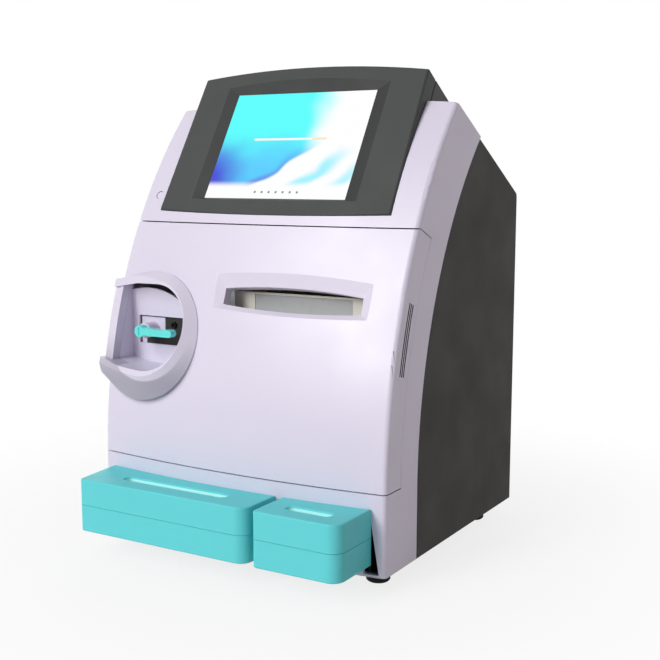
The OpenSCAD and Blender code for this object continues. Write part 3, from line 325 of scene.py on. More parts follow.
class NodeGroups:
    """Shader groups that several finishes share."""

    def __init__(self) -> None:
        """Builds each group once."""
        self.grain = self._moulded_grain()
        self.handling = self._handling()
        self.brushed = self._brushed_lines()

    @staticmethod
    def _start(
        name: str, values: dict[str, float], *outputs: str
    ) -> tuple[Wiring, bpy.types.Node, bpy.types.Node]:
        """Opens a group that reads a place and some values.

        Args:
            name: The group's name.
            values: The names of its values, with their defaults.
            *outputs: The names of the values that it puts out.

        Returns:
            The wiring of its tree, its input node and its output node.
        """
        tree = bpy.data.node_groups.new(name, "ShaderNodeTree")
        tree.interface.new_socket("Vector", in_out="INPUT", socket_type="NodeSocketVector")
        for key, value in values.items():
            socket = tree.interface.new_socket(key, in_out="INPUT", socket_type="NodeSocketFloat")
            socket.default_value = value
        for key in outputs:
            tree.interface.new_socket(key, in_out="OUTPUT", socket_type="NodeSocketFloat")
        return Wiring(tree), tree.nodes.new("NodeGroupInput"), tree.nodes.new("NodeGroupOutput")

    def _moulded_grain(self) -> Tree:
        """Makes the fine spark-eroded grain of a moulded shell: height and a small change of roughness.

        Returns:
            The group.
        """
        wire, ins, outs = self._start("moulded_grain", {"Scale": 1400.0}, "Height", "Gloss")
        fine = wire.noise(ins.outputs["Vector"], ins.outputs["Scale"], detail=3.0)
        patch = wire.noise(ins.outputs["Vector"], scale=22.0, detail=2.0)
        wire.feed(outs.inputs["Height"], fine)
        wire.feed(outs.inputs["Gloss"], wire.spread(patch, (0.3, 0.7), (-0.05, 0.05)))
        return wire.tree

    def _handling(self) -> Tree:
        """Makes the uneven tone of a used surface, a mask of broad drift and small scuffs.

        Returns:
            The group.
        """
        wire, ins, outs = self._start("handling", {"Amount": 0.5}, "Mask")
        broad = wire.noise(ins.outputs["Vector"], scale=7.0, detail=3.0)
        small = wire.noise(ins.outputs["Vector"], scale=160.0, detail=5.0)
        scuff = wire.spread(small, (0.56, 0.74), (0.0, 0.6))
        drift = wire.spread(broad, (0.35, 0.7), (0.0, 0.7))
        total = wire.combine("ADD", scuff, drift)
        wire.feed(outs.inputs["Mask"], wire.combine("MULTIPLY", total, ins.outputs["Amount"], clamp=True))
        return wire.tree

    def _brushed_lines(self) -> Tree:
        """Makes the drawn lines of rolled sheet and machined metal: height and roughness.

        Returns:
            The group.
        """
        wire, ins, outs = self._start("brushed_lines", {}, "Height", "Gloss")
        stretched = wire.remap(ins.outputs["Vector"], "Scale", (20.0, 900.0, 900.0))
        lines = wire.noise(stretched, scale=1.0, detail=4.0)
        wire.feed(outs.inputs["Height"], lines)
        wire.feed(outs.inputs["Gloss"], wire.spread(lines, (0.3, 0.7), (-0.1, 0.1)))
        return wire.tree


@dataclass(frozen=True)
class Finish:
    """One material: a base colour that drifts to a second one, with grain and gloss."""

    slot: str
    colour: Colour
    worn: Colour
    sheen: Sheen = Sheen.SATIN
    grain: float = 1400.0
    bump: float = 0.04
    wear: float = 0.35
    metal: bool = False
    clear: float = 0.0
    bump_depth: float = 0.2 * MM
    refraction: float = 1.46

    def build(self, groups: NodeGroups) -> bpy.types.Material:
        """Makes the node material.

        Args:
            groups: The shared shader groups.

        Returns:
            The material.
        """
        material = bpy.data.materials.new(self.slot)
        material.use_nodes = True
        wire = Wiring(material.node_tree)
        shader = wire.tree.nodes["Principled BSDF"].inputs
        spot = wire.spot()
        roughness, shine = self.sheen.value
        shader["Metallic"].default_value = 1.0 if self.metal else 0.0
        shader["Specular IOR Level"].default_value = shine
        if self.clear > 0:
            shader["Transmission Weight"].default_value = self.clear
            shader["IOR"].default_value = self.refraction

        surface = wire.group(groups.brushed if self.metal else groups.grain, spot)
        if not self.metal:
            surface.inputs["Scale"].default_value = self.grain
        handling = wire.group(groups.handling, spot)
        handling.inputs["Amount"].default_value = self.wear

        tone = wire.mix(handling.outputs["Mask"], (*self.colour, 1), (*self.worn, 1))
        wire.feed(shader["Base Color"], tone)
        rough = wire.combine("ADD", surface.outputs["Gloss"], roughness, clamp=True)
        wire.feed(shader["Roughness"], rough)
        bump = wire.node("Bump")
        bump.inputs["Strength"].default_value = self.bump
        bump.inputs["Distance"].default_value = self.bump_depth
        wire.feed(bump.inputs["Height"], surface.outputs["Height"])
        wire.feed(shader["Normal"], bump.outputs["Normal"])
        return material


@dataclass(frozen=True)
class CoverFinishPaintedShade(Finish):
    """The front cover's finish: the shell's own, with painted shade darkening the underside of the collar.
    """

    rim: tuple[float, float, float] = (-108.5 * MM, 0.0, 231.0 * MM)
    rim_r: float = 52.5 * MM
    root: tuple[float, float, float] = (-117.7 * MM, 0.0, 222.0 * MM)
    root_r: float = 68.0 * MM
    rim_fade: tuple[float, float] = (-1.0 * MM, 2.0 * MM)
    root_fade: tuple[float, float] = (5.0 * MM, -4.0 * MM)
    depth_fade: tuple[float, float] = (0.1, -0.75)
    # The colour that the base is multiplied by under the collar, for the painted shade
    shade: Colour = (0.56, 0.56, 0.57)

    def build(self, groups: NodeGroups) -> bpy.types.Material:
        """Makes the node material.

        Args:
            groups: The shared shader groups.

        Returns:
            The material.
        """
        material = super().build(groups)
        wire = Wiring(material.node_tree)
        tone = wire.tree.nodes["Principled BSDF"].inputs["Base Color"]
        plain = tone.links[0].from_socket
        # Painted shade: the base colour darkens on the collar's flank below its middle, where its shadow
        # falls
        from_rim, _ = self._away(wire, self.rim)
        past_rim = wire.ease(from_rim, *(self.rim_r + fade for fade in self.rim_fade))
        from_root, height = self._away(wire, self.root)
        on_flank = wire.ease(from_root, *(self.root_r + fade for fade in self.root_fade))
        under = wire.ease(height, *(self.root_r * fade for fade in self.depth_fade))
        mask = wire.combine("MULTIPLY", wire.combine("MULTIPLY", past_rim, on_flank), under)
        wire.feed(tone, wire.mix(mask, plain, (*self.shade, 1), "MULTIPLY"))
        return material

    @staticmethod
    def _away(wire: Wiring, centre: tuple[float, float, float]) -> tuple[Socket, Socket]:
        """Gives the distance from a centre, seen from the front, and the height over it.

        Args:
            wire: The material's wiring.
            centre: The centre.

        Returns:
            The distance and the height.
        """
        flat = wire.shift("MULTIPLY", wire.shift("SUBTRACT", wire.spot(), centre), (1.0, 0.0, 1.0))
        length = wire.node("VectorMath")
        length.operation = "LENGTH"
        wire.feed(length.inputs[0], flat)
        return length.outputs["Value"], wire.split(flat)["Z"]


@dataclass(frozen=True)
class ScreenFinish:
    """The lit screen: a cyan field with pale slanting sweeps, a bar and a row of dots.

    Places and sizes of the picture are shares of the screen's width and height.
    """

    origin: tuple[float, float, float]
    tilt: float
    width: float
    height: float
    slot: str = "screen"
    roughness: float = 0.2
    shine: float = 0.1
    glow: float = 0.97
    glass: Colour = (0.01, 0.01, 0.012)
    foot: tuple[float, float] = (0.17, 0.10)
    bar_y: float = 0.555
    bar_h: float = 0.020
    dots: int = 7
    dot_start: tuple[float, float] = (0.36, 0.06)
    dot_step: float = 0.05
    dot_size: tuple[float, float] = (0.014, 0.019)

    def build(self) -> bpy.types.Material:
        """Makes the emitting material, drawn in the plane of the screen.

        Returns:
            The material.
        """
        material = bpy.data.materials.new(self.slot)
        material.use_nodes = True
        wire = Wiring(material.node_tree)
        shader = wire.tree.nodes["Principled BSDF"].inputs
        shader["Roughness"].default_value = self.roughness
        shader["Emission Strength"].default_value = self.glow
        shader["Specular IOR Level"].default_value = self.shine
        shader["Base Color"].default_value = (*self.glass, 1)
        u, v = self._plane(wire)
        picture = wire.mix(wire.ease(v, *self.foot), self._field(wire, u, v), Tint.WHITE.value)
        marks = [
            (Tint.BAR, (0.44, self.bar_y), (0.42, self.bar_h)),
            (Tint.BAR_END, (0.70, self.bar_y), (0.10, self.bar_h)),
        ]
        for step in range(self.dots):
            across, up = self.dot_start
            marks.append((Tint.DOT, (across + self.dot_step * step, up), self.dot_size))
        for tint, middle, size in marks:
            picture = wire.mix(self._bar(wire, (u, v), middle, size), picture, tint.value)
        wire.feed(shader["Emission Color"], picture)
        return material

    def _plane(self, wire: Wiring) -> tuple[Socket, Socket]:
        """Turns object coordinates into 0 to 1 across and up the screen.

        Args:
            wire: The material's wiring.

        Returns:
            The place across and the place up.
        """
        turned = wire.remap(wire.shift("SUBTRACT", wire.spot(), self.origin), "Rotation", (self.tilt, 0, 0))
        placed = wire.split(wire.shift("DIVIDE", turned, (self.width, 1.0, self.height)))
        return placed["X"], placed["Z"]

    @staticmethod
    def _slope(wire: Wiring, u: Socket, v: Socket, rise: float, start: float) -> Socket:
        """Gives the height over a slanting line that starts at a place across and rises with it."""
        run = wire.combine("MULTIPLY", wire.combine("SUBTRACT", u, start), rise)
        return wire.combine("SUBTRACT", v, run)

    def _field(self, wire: Wiring, u: Socket, v: Socket) -> Socket:
        """Draws the cyan field, the blue haze at its left and the pale sweeps to the right.

        Args:
            wire: The material's wiring.
            u: The place across the screen.
            v: The place up it.

        Returns:
            The field's colour.
        """
        join = wire.node("CombineXYZ")
        wire.feed(join.inputs["X"], u)
        wire.feed(join.inputs["Y"], v)
        noise = wire.noise(join.outputs["Vector"], scale=2.6, detail=1.5)
        wander = wire.combine("MULTIPLY", wire.combine("SUBTRACT", noise, 0.5), 0.32)
        du, dv = wire.combine("ADD", u, wander), wire.combine("ADD", v, wander)
        high = self._slope(wire, du, v, rise=-0.55, start=0.0)
        low = self._slope(wire, u, dv, rise=1.05, start=0.26)
        haze = wire.combine("MULTIPLY", wire.ease(du, 0.30, 0.0), wire.ease(v, 0.66, 0.22))
        stripe = wire.combine("MULTIPLY", wire.ease(low, 0.14, 0.04), wire.ease(u, 0.72, 0.30))
        layers = [
            (Tint.DUSK, haze),
            (Tint.BLUE, stripe),
            (Tint.WHITE, wire.ease(low, 0.05, 0.0)),
            (Tint.WHITE, wire.ease(du, 0.56, 0.78)),
        ]
        for start, share in ((0.62, 0.75), (0.86, 0.6)):
            line = self._slope(wire, du, v, rise=1.2, start=start)
            streak = wire.combine("MULTIPLY", wire.ease(line, -0.02, 0.08), wire.ease(line, 0.22, 0.1))
            faded = wire.combine("MULTIPLY", streak, wire.ease(high, 1.05, 0.72))
            layers.append((Tint.AQUA, wire.combine("MULTIPLY", faded, share)))
        picture = wire.mix(wire.ease(dv, 0.30, 0.62), Tint.AZURE.value, Tint.CYAN.value)
        for tint, mask in layers:
            picture = wire.mix(mask, picture, tint.value)
        return picture

    @staticmethod
    def _bar(
        wire: Wiring,
        place: tuple[Socket, Socket],
        middle: tuple[float, float],
        size: tuple[float, float],
    ) -> Socket:
        """Makes the mask of a flat bar.

        Args:
            wire: The material's wiring.
            place: The place across the screen and up it.
            middle: The bar's middle.
            size: Its width and height.

        Returns:
            The mask.
        """
        near = []
        for along, centre, length in zip(place, middle, size):
            inside = wire.combine("COMPARE", along, centre)
            inside.node.inputs[2].default_value = length / 2
            near.append(inside)
        return wire.combine("MULTIPLY", *near)


class FinishBook:
    """All the object's finishes, by material slot."""

    PALE = (linear(218, 213, 230), linear(210, 204, 222))
    # Each row: slot, colour, worn colour, sheen, scale of the grain, its bump and the share of wear
    PLAIN: tuple[Finish, ...] = (
        Finish("pale_plastic", *PALE, Sheen.SATIN, 1500.0, 0.05, 0.25),
        # The front cover: the pale shell with painted shade under the collar
        CoverFinishPaintedShade("cover_plastic_painted_shade", *PALE, Sheen.SATIN, 1500.0, 0.05, 0.25),
        Finish("charcoal_plastic", linear(53, 52, 50), linear(56, 55, 53), Sheen.MATTE, 900.0, 0.22, 0.15),
        Finish("monitor_plastic", linear(60, 62, 62), linear(67, 69, 69), Sheen.SOFT, 1300.0, 0.10, 0.35),
        # A darker copy of the monitor plastic: painted shade on the slopes round the screen
        Finish("monitor_recess_painted_shade", linear(40, 41, 41), linear(46, 47, 47), Sheen.SOFT, 1300.0, 0.10, 0.35),
        Finish("teal_plastic", linear(100, 214, 218), linear(93, 204, 209), Sheen.SOFT, 1100.0, 0.04, 0.3),
        Finish("teal_lever", linear(98, 230, 224), linear(90, 220, 216), Sheen.GLOSS, 1100.0, 0.02, 0.2),
        # A paler copy of the teal: painted highlight on the walls of the finger slots
        Finish("teal_painted_highlight", linear(196, 252, 249), linear(182, 244, 243), Sheen.SOFT, 1100.0, 0.04, 0.3),
        Finish("cream_plastic", linear(252, 249, 236), linear(246, 242, 226), Sheen.SOFT, 1300.0, 0.05, 0.3),
        Finish("grey_plastic", linear(204, 208, 207), linear(172, 177, 176), Sheen.SOFT, 1200.0, 0.06, 0.35),
        Finish("black_plastic", linear(30, 30, 31), linear(38, 38, 40), Sheen.MATTE, 1000.0, 0.15, 0.4),
        Finish("black_rubber", linear(9, 9, 10), linear(18, 17, 17), Sheen.MATTE, 600.0, 0.3, 0.5),
        Finish("board_green", linear(30, 92, 62), linear(46, 112, 74), Sheen.GLOSS, 500.0, 0.12, 0.5),
        Finish("paper", linear(244, 244, 240), linear(234, 233, 228), Sheen.MATTE, 900.0, 0.15, 0.4),
        Finish("bottle", linear(238, 238, 232), linear(224, 226, 220), Sheen.SATIN, 800.0, 0.06, 0.4),
        Finish(
            "clear", linear(224, 238, 244), linear(210, 228, 236), Sheen.POLISHED, 900.0, 0.0, 0.2, clear=0.9
        ),
        # A metal has drawn lines in place of the grain
        Finish(
            "zinc_steel", linear(186, 188, 192), linear(160, 163, 168), Sheen.SATIN,
            bump=0.08, wear=0.5, metal=True,
        ),
        Finish(
            "stainless", linear(205, 206, 208), linear(182, 184, 187), Sheen.POLISHED,
            bump=0.04, wear=0.3, metal=True,
        ),
        Finish(
            "alloy", linear(206, 208, 212), linear(186, 189, 194), Sheen.SATIN,
            bump=0.10, wear=0.3, metal=True,
        ),
    )

    def __init__(self, screen: ScreenFinish) -> None:
        """Builds every material.

        Args:
            screen: The finish of the lit screen.
        """
        groups = NodeGroups()
        self.materials = {finish.slot: finish.build(groups) for finish in self.PLAIN}
        self.materials[screen.slot] = screen.build()

    def __getitem__(self, slot: str) -> bpy.types.Material:
        """Gives the material of a slot."""
        return self.materials[slot]


class Workbench:
    """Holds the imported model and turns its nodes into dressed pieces.

    Corners closer than the weld are one, edges shorter than the speck go, faces that turn by less than
    the flat angle in degrees are one, and an edge that turns by more than the fold is shaded sharp.
    """

    weld: float = 4e-6
    speck: float = 1e-6
    flat: float = 0.05
    fold: float = 16.0
    large_face_weight: int = 100

    def __init__(self, frame: dict, finishes: FinishBook) -> None:
        """Keeps the frame and the finishes.

        Args:
            frame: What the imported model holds.
            finishes: The object's materials.
        """
        self.frame = frame
        self.finishes = finishes
        self.slot_of = {part["node"]: part["material_slot"] for part in frame["record"]["subparts"]}
        bodies = frame["record"]["behaviour"]["bodies"]
        self.body_of = {node: body for body, nodes in bodies.items() for node in nodes}

    def paint_frame(self) -> None:
        """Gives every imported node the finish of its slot."""
        for node, piece in self.frame["nodes"].items():
            self._paint(piece, self.slot_of[node])

    def _paint(self, piece: bpy.types.Object, slot: str) -> None:
        """Puts one finish on a piece."""
        piece.data.materials.clear()
        piece.data.materials.append(self.finishes[slot])

    def soften(
        self,
        node: str,
        bevel: float = 0.0,
        segments: int = 2,
        crease: float = 28.0,
        slot: str | None = None,
        where: Callable[[Vector], bool] | None = None,
        relay: Callable[[bmesh.types.BMFace], bool] | None = None,
    ) -> bpy.types.Object:
        """Makes a welded copy of a node with broken edges and smooth curves, in the node's place.

        Args:
            node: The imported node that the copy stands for.
            bevel: Width of the broken edges.
            segments: Steps across a broken edge.
            crease: Angle in degrees over which an edge is broken.
            slot: Material slot, where it isn't the node's own.
            where: Says by an edge's middle whether to break it; such an edge takes the full width.
            relay: Says which triangles are laid anew, along the curve of a rounded corner.

        Returns:
            The finished piece.
        """
        mesh = self.frame["nodes"][node].data.copy()
        piece = bpy.data.objects.new(f"{node}_skin", mesh)
        bpy.context.collection.objects.link(piece)
        shape = bmesh.new()
        shape.from_mesh(mesh)
        bmesh.ops.remove_doubles(shape, verts=shape.verts, dist=self.weld)
        bmesh.ops.dissolve_degenerate(shape, dist=self.speck, edges=shape.edges)
        if relay:
            self._lay_anew(shape, relay)
        bmesh.ops.dissolve_limit(
            shape,
            angle_limit=math.radians(self.flat),
            verts=shape.verts,
            edges=shape.edges,
            use_dissolve_boundaries=False,
        )
        self.shade(shape)
        if relay:
            for edge in shape.edges:
                edge.smooth = edge.smooth or all(map(relay, edge.link_faces))
        if bevel > 0:
            broken = self._turning(shape, crease)
            if where:
                broken = [e for e in broken if where((e.verts[0].co + e.verts[1].co) / 2)]
            self._break(shape, broken, bevel, segments, clamp=where is None)
        shape.to_mesh(mesh)
        shape.free()
        weigh = piece.modifiers.new("even_normals", "WEIGHTED_NORMAL")
        weigh.keep_sharp = True
        weigh.weight = self.large_face_weight
        slot = slot or self.slot_of[node]
        self._paint(piece, slot)
        return self.place(piece, self.body_of[node], slot, node)

    @staticmethod
    def _lay_anew(shape: bmesh.types.BMesh, relay: Callable[[bmesh.types.BMFace], bool]) -> None:
        """Lays the triangles of a curved stretch along its curve.

        Args:
            shape: The mesh.
            relay: Says which faces lie on the stretch.
        """
        shape.normal_update()
        faces = [face for face in shape.faces if relay(face)]
        paired = [edge for edge in shape.edges if len(edge.link_faces) == 2]
        inner = [edge for edge in paired if all(map(relay, edge.link_faces))]
        bmesh.ops.beautify_fill(shape, faces=faces, edges=inner, method="ANGLE")
        shape.normal_update()

    @staticmethod
    def _break(
        shape: bmesh.types.BMesh, edges: list[bmesh.types.BMEdge], width: float, segments: int, clamp: bool
    ) -> None:
        """Breaks some edges of a mesh.

        Args:
            shape: The mesh.
            edges: The edges.
            width: The width of the broken edge.
            segments: Steps across it.
            clamp: Whether the width gives way where edges are close.
        """
        for edge in edges:
            edge.smooth = True
        bmesh.ops.bevel(
            shape,
            geom=edges,
            offset=width,
            offset_type="OFFSET",
            segments=segments,
            profile=0.5,
            affect="EDGES",
            clamp_overlap=clamp,
            loop_slide=True,
            material=-1,
        )

    def accent(
        self, piece: bpy.types.Object, finish: str, chosen: Callable[[bpy.types.MeshPolygon], bool]
    ) -> None:
        """Gives some faces of a piece a second finish.

        Args:
            piece: The finished piece.
            finish: The second finish.
            chosen: Says which faces take it.
        """
        piece.data.materials.append(self.finishes[finish])
        for face in piece.data.polygons:
            if chosen(face):
                face.material_index = 1

    @staticmethod
    def _turning(shape: bmesh.types.BMesh, angle: float) -> list[bmesh.types.BMEdge]:
        """Lists the edges that turn by more than an angle in degrees."""
        limit = math.radians(angle)
        return [e for e in shape.edges if len(e.link_faces) == 2 and e.calc_face_angle(0.0) > limit]

    @classmethod
    def shade(cls, shape: bmesh.types.BMesh) -> None:
        """Shades a mesh smooth, apart from its folds.

        Args:
            shape: The mesh.
        """
        for face in shape.faces:
            face.smooth = True
        for edge in shape.edges:
            edge.smooth = True
        for edge in cls._turning(shape, cls.fold):
            edge.smooth = False

    def place(self, piece: bpy.types.Object, body: str, slot: str, *nodes: str) -> bpy.types.Object:
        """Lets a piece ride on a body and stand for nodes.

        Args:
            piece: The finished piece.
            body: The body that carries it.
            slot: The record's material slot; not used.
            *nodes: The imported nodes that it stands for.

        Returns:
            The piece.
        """
        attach(piece, body)
        if nodes:
            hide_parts(*nodes)
        LOG.info("%s rides on %s with %d faces", piece.name, body, len(piece.data.polygons))
        return piece

    def new_piece(self, name: str, shape: bmesh.types.BMesh, slot: str) -> bpy.types.Object:
        """Turns a finished bmesh into an object with a finish.

        Args:
            name: The object's name.
            shape: The mesh, freed here.
            slot: Its material slot.

        Returns:
            The object.
        """
        self.shade(shape)
        mesh = bpy.data.meshes.new(name)
        shape.to_mesh(mesh)
        shape.free()
        piece = bpy.data.objects.new(name, mesh)
        bpy.context.collection.objects.link(piece)
        self._paint(piece, slot)
        return piece


@dataclass
class Assembly:
    """A group of nodes that are dressed together, each with the width of its broken edges."""

    bench: Workbench
    bevels: dict[str, float] = field(default_factory=dict)

    def build(self) -> None:
        """Breaks the edges of every node."""
        for node, width in self.bevels.items():
            self.bench.soften(node, width)


@dataclass
class Shells(Assembly):
    """The pale front, the dark rear wrap and what closes them."""

    bevels: dict[str, float] = field(
        default_factory=lambda: {
            "front_frame": 0.5 * MM,
            "slot_bezel": 0.0,
            "rear_cover": 0.8 * MM,
            "rear_panel": 0.3 * MM,
            "feet": 0.8 * MM,
            "cover_bushes": 0.4 * MM,
            "guide_pins": 0.6 * MM,
        }
    )
    plate_edge: float = 0.5 * MM
    cover_side: float = field(init=False, default=0.0)
    corner_r: float = 5.0 * MM
    corner_aside: float = 0.05
    corner_forward: float = 0.02
    grip_low: float = 199.0 * MM
    grip_high: float = 271.0 * MM
    grip_near: float = 0.05 * MM
    grip_skin: float = 2.4 * MM
    grip_steep: float = 0.5

    def build(self) -> None:
        """Dresses every shell."""
        super().build()
        # The steel base plate takes the black finish so that its edge under the packs stays dark: painted
        # shade
        self.bench.soften("base_plate", self.plate_edge, slot="black_plastic")
        self.cover_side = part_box("front_cover")[1].x
        cover = self.bench.soften("front_cover", relay=self._on_corner)
        # The cover takes the shell's finish with painted shade under the collar
        cover.data.materials[0] = self.bench.finishes["cover_plastic_painted_shade"]
        # The walls of the grip grooves are painted black: painted shade in the grooves
        self.bench.accent(cover, "black_plastic", self._in_grip)

    def _on_corner(self, face: bmesh.types.BMFace) -> bool:
        """Says whether a face lies on the cover's rounded right corner."""
        outer = face.calc_center_median().x > self.cover_side - self.corner_r
        return outer and face.normal.x > self.corner_aside and face.normal.y < -self.corner_forward

    def _in_grip(self, face: bpy.types.MeshPolygon) -> bool:
        """Says whether a face is a wall of the grip grooves in the cover's right side.

        Args:
            face: The face.

        Returns:
            Whether it is one.
        """
        inside = self.grip_near < self.cover_side - face.center.x < self.grip_skin
        steep = abs(face.normal.x) < self.grip_steep
        return inside and steep and self.grip_low < face.center.z < self.grip_high


@dataclass
class Monitor(Assembly):
    """The tilted monitor on top."""

    edge: float = 2.2 * MM
    segments: int = 4
    crease: float = 42.0
    button_edge: float = 0.8 * MM
    button_segments: int = 3
    tilt: float = SCREEN_TILT
    recess_half_w: float = 120.0 * MM
    recess_half_h: float = 73.5 * MM
    slope_aside: float = 0.05
    slope_level: float = 0.04
    slope_forward: float = 0.5
    screen_mid: Vector = field(init=False, default_factory=Vector)

    def build(self) -> None:
        """Dresses the housing and the button beside it."""
        low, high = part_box("touch_screen")
        self.screen_mid = (low + high) / 2
        bezel = self.bench.soften(
            "monitor_bezel", self.edge, self.segments, self.crease, where=self._on_outline
        )
        # The slopes round the screen take a darker copy of the bezel plastic: painted shade
        self.bench.accent(bezel, "monitor_recess_painted_shade", self._in_recess)
        self.bench.soften("monitor_back", self.edge, self.segments, self.crease)
        self.bench.soften("standby_button", self.button_edge, self.button_segments, slot="pale_plastic")

    def _from_screen(self, spot: Vector) -> Vector:
        """Gives a place's distance from the middle of the screen, across, into and up its face."""
        return Matrix.Rotation(self.tilt, 3, "X") @ (spot - self.screen_mid)

    def _on_outline(self, spot: Vector) -> bool:
        """Says whether a place lies on the bezel's outline and not round the screen."""
        away = self._from_screen(spot)
        return abs(away.x) > self.recess_half_w or abs(away.z) > self.recess_half_h

    def _in_recess(self, face: bpy.types.MeshPolygon) -> bool:
        """Says whether a face is one of the slopes round the screen, which face its middle.

        Args:
            face: The face.

        Returns:
            Whether it is one.
        """
        facing = Matrix.Rotation(self.tilt, 3, "X") @ face.normal
        away = self._from_screen(face.center)
        aside = facing.x * math.copysign(1.0, away.x) < -self.slope_aside
        level = facing.z * math.copysign(1.0, away.z) < -self.slope_level
        return facing.y < -self.slope_forward and (aside or level)


@dataclass
class SamplingStation(Assembly):
    """The recess at the left with its cup, its inlet and its lever."""

    bevels: dict[str, float] = field(
        default_factory=lambda: {
            "sampling_cup": 0.4 * MM,
            "sampler_block": 0.5 * MM,
            "sampler_housing": 0.5 * MM,
            "inlet_seal": 0.6 * MM,
        }
    )
    lever_edge: float = 1.6 * MM
    lever_segments: int = 4
    lever_crease: float = 35.0
    shaft_edge: float = 0.3 * MM

    def build(self) -> None:
        """Dresses the recess, then the lever and its shaft."""
        super().build()
        lever = self.bench.soften("sampling_lever", self.lever_edge, self.lever_segments, self.lever_crease)
        lever.data.materials[0] = self.bench.finishes["teal_lever"]
        self.bench.soften("lever_shaft", self.shaft_edge)


@dataclass
class PrinterBay(Assembly):
    """The roll printer behind the slot: its case, its cover and its rollers."""

    bevels: dict[str, float] = field(
        default_factory=lambda: {
            "printer_case": 0.8 * MM,
            "paper_cover": 0.3 * MM,
            "print_head": 0.4 * MM,
            "platen_roller": 0.3 * MM,
            "paper_roll": 0.3 * MM,
            "roll_spindle": 0.3 * MM,
        }
    )


@dataclass
class ReagentPacks(Assembly):
    """The two pull-out packs."""

    bevels: dict[str, float] = field(default_factory=lambda: {"pack_couplers": 0.3 * MM})
    edge: float = 1.8 * MM
    segments: int = 4
    crease: float = 35.0
    level_slack: float = 0.1 * MM
    bottle_edge: float = 1.2 * MM
    bottle_segments: int = 3
    grip_depth: float = 8.0 * MM
    grip_set_back: float = 26.0 * MM

    def build(self) -> None:
        """Dresses both halves of each pack, its bottles and the couplers."""
        for pack in ("large_pack", "small_pack"):
            self._half(f"{pack}_lower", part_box(f"{pack}_lower")[0].z)
            upper = self._half(f"{pack}_upper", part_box(f"{pack}_upper")[1].z)
            self._paint_slot_highlight(upper, f"{pack}_upper")
        for bottle in ("reagent_bottles", "waste_bottle"):
            self.bench.soften(bottle, self.bottle_edge, self.bottle_segments)
        super().build()

    def _half(self, node: str, level: float) -> bpy.types.Object:
        """Rounds the edges of one half at its outer level.

        Args:
            node: The half's node.
            level: The height of its top or its bottom.

        Returns:
            The finished half.
        """

        def at_level(spot: Vector) -> bool:
            """Says whether a place is at the outer level."""
            return abs(spot.z - level) < self.level_slack

        return self.bench.soften(node, self.edge, self.segments, self.crease, where=at_level)

    def _paint_slot_highlight(self, upper: bpy.types.Object, node: str) -> None:
        """Paints the walls of the finger slot a paler teal: a painted highlight where light falls into the
        slot.

        Args:
            upper: The softened upper half.
            node: The node it stands for.
        """
        low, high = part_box(node)
        margin = self.grip_set_back / 2

        def in_grip(face: bpy.types.MeshPolygon) -> bool:
            """Says whether a face lies in the finger slot.

            Args:
                face: The face.

            Returns:
                Whether it does.
            """
            deep = high.z - self.grip_depth - MM < face.center.z < high.z - self.edge
            near = abs(face.center.y - low.y - self.grip_set_back) < self.grip_depth
            return deep and near and low.x + margin < face.center.x < high.x - margin

        # Painted highlight on the walls of the finger slot
        self.bench.accent(upper, "teal_painted_highlight", in_grip)


@dataclass
class FluidDeck(Assembly):
    """The pump, valves and measuring block on the bulkhead behind the cover."""

    bevels: dict[str, float] = field(
        default_factory=lambda: {
            "measuring_block": 0.6 * MM,
            "electrodes": 0.5 * MM,
            "chamber_window": 0.4 * MM,
            "pump_body": 0.6 * MM,
            "pump_rotor": 0.4 * MM,
            "pump_rollers": 0.4 * MM,
            "pump_tube": 0.0,
            "pump_motor": 0.6 * MM,
            "valve_block": 0.5 * MM,
            "valve_coils": 0.5 * MM,
        }
    )


@dataclass
class RearFittings(Assembly):
    """What shows at the back: the fan, the sockets, the switch and the seal under the roof."""

    bevels: dict[str, float] = field(
        default_factory=lambda: {
            "fan_frame": 0.5 * MM,
            "fan_rotor": 0.3 * MM,
            "power_inlet": 0.5 * MM,
            "switch_frame": 0.4 * MM,
            "rocker_switch": 0.4 * MM,
            "data_ports": 0.2 * MM,
            "panel_screws": 0.5 * MM,
            "board_standoffs": 0.2 * MM,
            "power_supply": 0.5 * MM,
        }
    )
    seal_t: float = 2.8 * MM
    seal_h: float = 11.0 * MM
    seal_over: float = 4.2 * MM

    def build(self) -> None:
        """Dresses every fitting and seals the slit over the rear panel."""
        super().build()
        self._seal()

    def _seal(self) -> None:
        """Lays a rubber strip behind the top edge of the rear panel, under the roof."""
        low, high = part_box("rear_panel")
        middle = (0.0, low.y - self.seal_t / 2, high.z + self.seal_over - self.seal_h / 2)
        shape = bmesh.new()
        bmesh.ops.create_cube(shape, size=1.0)
        bmesh.ops.scale(shape, vec=(high.x - low.x, self.seal_t, self.seal_h), verts=shape.verts)
        bmesh.ops.translate(shape, vec=middle, verts=shape.verts)
        bmesh.ops.bevel(
            shape,
            geom=shape.edges[:],
            offset=self.seal_t / 4,
            offset_type="OFFSET",
            segments=2,
            profile=0.5,
            affect="EDGES",
            clamp_overlap=True,
            material=-1,
        )
        strip = self.bench.new_piece("rear_seal", shape, "black_rubber")
        self.bench.place(strip, "chassis", "black_rubber")


